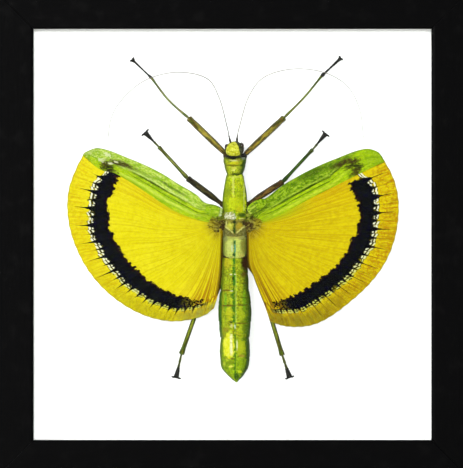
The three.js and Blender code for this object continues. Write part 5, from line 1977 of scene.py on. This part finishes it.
class SPECIMEN_OT_wing_covers(bpy.types.Operator):
    """Make the two short wing covers and the brown skin round the wing hinges"""

    bl_idname = "specimen.wing_covers"
    bl_label = "Wing covers"

    def execute(self, context):
        for label in SIDES:
            leaf = settle(self.cover(label), f"cover_{label}", self.finish(label),
                          [f"tegmen_{label}"], closed=False)
            thicken(leaf, COVER_THICKNESS)
        pads = []
        for side in (-1, 1):
            def rough(unit, side=side):
                crumple = noise.noise(unit * 2.2 + Vector((side * 3, 0, 0)))
                torn = noise.noise(unit * 5 + Vector((side * 7, 2, 0)))
                return 0.36 * crumple + 0.22 * torn + 0.05 * sin(14 * unit.z + 9 * crumple)
            pads.append(lump((side * 5.8, -0.9, 0.2), (3.1, 0.7, 2.5), None, 84, 56, rough))
            pads.append(lump((side * 4.9, -0.9, 3.0), (1.4, 0.8, 1.5), None, 40, 28, rough))
        settle(merge(*pads), "hinge_pads", self.hinge_skin())
        return {"FINISHED"}

    def hinge_skin(self):
        """Wrinkled brown skin that turns yellow towards the fan and green towards the strip."""
        skin = Finish("hinge_skin", 0.08)
        x, z = skin.in_plane()
        cloud = skin.grain(0.6, 4, 0.6)
        wrinkle = skin.grain(1.2, 4, 0.6, stretch=(0.7, 1, 1.5))
        shade = skin.layers(
            tint(70, 52, 18),
            ((abs(x) + (cloud - 0.5) * 7).rising(5.0, 8.0) * 0.9, tint(178, 164, 24)),
            ((z + (cloud - 0.5) * 6).rising(0.8, 2.8) * 0.8, tint(112, 140, 20)),
            (wrinkle.rising(0.52, 0.6) * 0.55, tint(176, 170, 70)),
            (wrinkle.rising(0.49, 0.4) * 0.7, tint(46, 32, 10)),
        )
        return skin.surface(shade, 0.6, wrinkle, 0.2)

    def cover(self, label):
        root, end = [Vector(at) for at in COVERS[label]]
        ahead = (end - root).normalized()
        aside = Vector((ahead.z, 0, -ahead.x)).normalized()

        def place(across, along):
            belly = sin(pi * (0.12 + 0.8 * along)) ** 0.7
            reach = (2 * across - 1) * 1.9 * (0.25 + 0.75 * belly)
            crest = 1.3 * sin(pi * across) * sin(pi * min(1, 0.15 + along))
            crest += 0.25 * hump(along, 0.3, 0.16) * hump(across, 0.5, 0.25)
            at = root.lerp(end, along)
            return at + aside * reach + Vector((0, -crest, 0))
        return loft(40, 56, place)

    def finish(self, label):
        leaf = Finish(f"cover_skin_{label}", 0.06)
        across, along = leaf.pattern()
        net = leaf.cells(leaf.vector(across * 4, along * 7), 1.0, "DISTANCE_TO_EDGE").rising(0.12, 0.02)
        mottle = leaf.grain(1.3, 5, 0.5)
        cloud = leaf.grain(0.6, 2)
        # ridge is where a painted highlight runs along the crest
        ridge = across.near(0.42, 0.2) * along.near(0.3, 0.28)
        crumbs = leaf.grain(2.0, 3)
        pale = tint(232, 242, 190) if label == "left" else tint(206, 222, 90)
        shade = leaf.layers(
            tint(158, 198, 20),
            (mottle.rising(0.47, 0.62) * (0.6 if label == "left" else 0.8), tint(80, 132, 10)),
            (crumbs.rising(0.54, 0.62) * (0.3 if label == "left" else 0.6), tint(44, 76, 8)),
            (cloud.rising(0.5, 0.58) * (0.1 if label == "left" else 0.5), tint(56, 96, 14)),
            (net * 0.15 * cloud.rising(0.35, 0.6), tint(206, 216, 96)),
            # a painted highlight along the crest
            ((ridge * (0.4 + mottle)).rising(0.3, 0.6) * 0.5, tint(214, 228, 84)),
            (crumbs.rising(0.45, 0.38) * 0.4, tint(214, 228, 70)),
            (across.rising(0.85, 1.0) * 0.6, tint(56, 90, 14)),
            (along.rising(0.22, 0.04) * mottle.rising(0.6, 0.45) * 0.8, pale),
        )
        return leaf.surface(shade, 0.45 + 0.2 * mottle, net * 0.2 + mottle, 0.12)


# ---- stage


class SPECIMEN_OT_stage(bpy.types.Operator):
    """Set up the floor, the lights and the camera"""

    bl_idname = "specimen.stage"
    bl_label = "Floor, lights and camera"

    def execute(self, context):
        stage = context.scene.specimen_stage
        self.floor(stage)
        self.lights(stage)
        self.camera(context.scene, stage)
        self.room(context.scene, stage)
        return {"FINISHED"}

    def floor(self, stage):
        bm = bmesh.new()
        bmesh.ops.create_grid(bm, x_segments=1, y_segments=1, size=FLOOR_HALF)
        mesh = bpy.data.meshes.new("floor")
        bm.to_mesh(mesh)
        bm.free()
        plain = Finish("floor_finish", 0.2)
        cloud = plain.grain(0.004, 3)
        shade = plain.mix(cloud * 0.3, stage.floor, scaled(stage.floor, 0.94))
        mesh.materials.append(plain.surface(shade, 0.7 + 0.1 * cloud))
        floor = add("floor", mesh)

    def lights(self, stage):
        middle = Vector((0, 0, (CAD_BOX[0].z + CAD_BOX[1].z) / 2))
        for name, azimuth, elevation, distance, size, share in (
            ("key", -26, 16, 1.3, 0.35, stage.key),
            ("back", 205, 35, 1.4, 0.9, 0.6),
        ):
            way = direction(radians(azimuth), radians(elevation))
            lamp = bpy.data.lights.new(name, "AREA")
            lamp.shape = "DISK"
            lamp.size = size
            lamp.energy = share * (pi * distance) ** 2 / abs(way.y)
            self.hang(lamp, middle + way * distance, way)
        way = direction(0, radians(2))
        lamp = bpy.data.lights.new("front", "SUN")
        lamp.angle = radians(4)
        lamp.energy = stage.front * pi
        self.hang(lamp, middle + way, way).visible_glossy = False  # so the pane does not mirror it

    def hang(self, lamp, place, way):
        light = add(lamp.name, lamp)
        light.location = place
        light.rotation_euler = way.to_track_quat("Z", "Y").to_euler()
        light.visible_camera = False
        return light

    def camera(self, scene, stage):
        lens = bpy.data.cameras.new("camera")
        lens.sensor_width = 36
        lens.lens = lens.sensor_width * stage.distance / VIEW_HEIGHT
        lens.clip_start, lens.clip_end = 0.05, 100
        camera = add("camera", lens)
        camera.location = (VIEW_MIDDLE[0], -stage.distance, VIEW_MIDDLE[1])
        camera.rotation_euler = (pi / 2, 0, 0)
        scene.camera = camera

    def room(self, scene, stage):
        room = bpy.data.worlds.new("room")
        room.use_nodes = True
        backdrop = room.node_tree.nodes["Background"]
        backdrop.inputs["Color"].default_value = (0.96, 0.98, 1.0, 1)
        backdrop.inputs["Strength"].default_value = stage.sky
        scene.world = room
        scene.view_settings.view_transform = "Standard"
        scene.view_settings.look = "None"


# ---- panel and registration

OPERATORS = (
    SPECIMEN_OT_stage, SPECIMEN_OT_rails, SPECIMEN_OT_boards, SPECIMEN_OT_fittings, SPECIMEN_OT_head,
    SPECIMEN_OT_feelers, SPECIMEN_OT_thorax, SPECIMEN_OT_abdomen, SPECIMEN_OT_soft_skin,
    SPECIMEN_OT_legs, SPECIMEN_OT_wings, SPECIMEN_OT_wing_covers,
)
SETTINGS = {
    "specimen_case": CaseSettings,
    "specimen_body": BodySettings,
    "specimen_wings": WingSettings,
    "specimen_legs": LegSettings,
    "specimen_stage": StageSettings,
}


class SPECIMEN_PT_panel(bpy.types.Panel):
    """The steps that build the specimen, and their settings"""

    bl_idname = "SPECIMEN_PT_panel"
    bl_label = "Framed insect"
    bl_space_type = "VIEW_3D"
    bl_region_type = "UI"
    bl_category = "Specimen"

    def draw(self, context):
        for step in OPERATORS:
            self.layout.operator(step.bl_idname)
        for name, kind in SETTINGS.items():
            box = self.layout.box()
            for setting in kind.__annotations__:
                box.prop(getattr(context.scene, name), setting)


CLASSES = (*SETTINGS.values(), *OPERATORS, SPECIMEN_PT_panel)


def register():
    for kind in CLASSES:
        bpy.utils.register_class(kind)
    for name, kind in SETTINGS.items():
        setattr(bpy.types.Scene, name, bpy.props.PointerProperty(type=kind))


def unregister():
    for name in SETTINGS:
        delattr(bpy.types.Scene, name)
    for kind in reversed(CLASSES):
        bpy.utils.unregister_class(kind)


def main():
    register()
    for step in OPERATORS:
        getattr(bpy.ops.specimen, step.bl_idname.split(".")[1])()


if __name__ == "__main__":
    main()
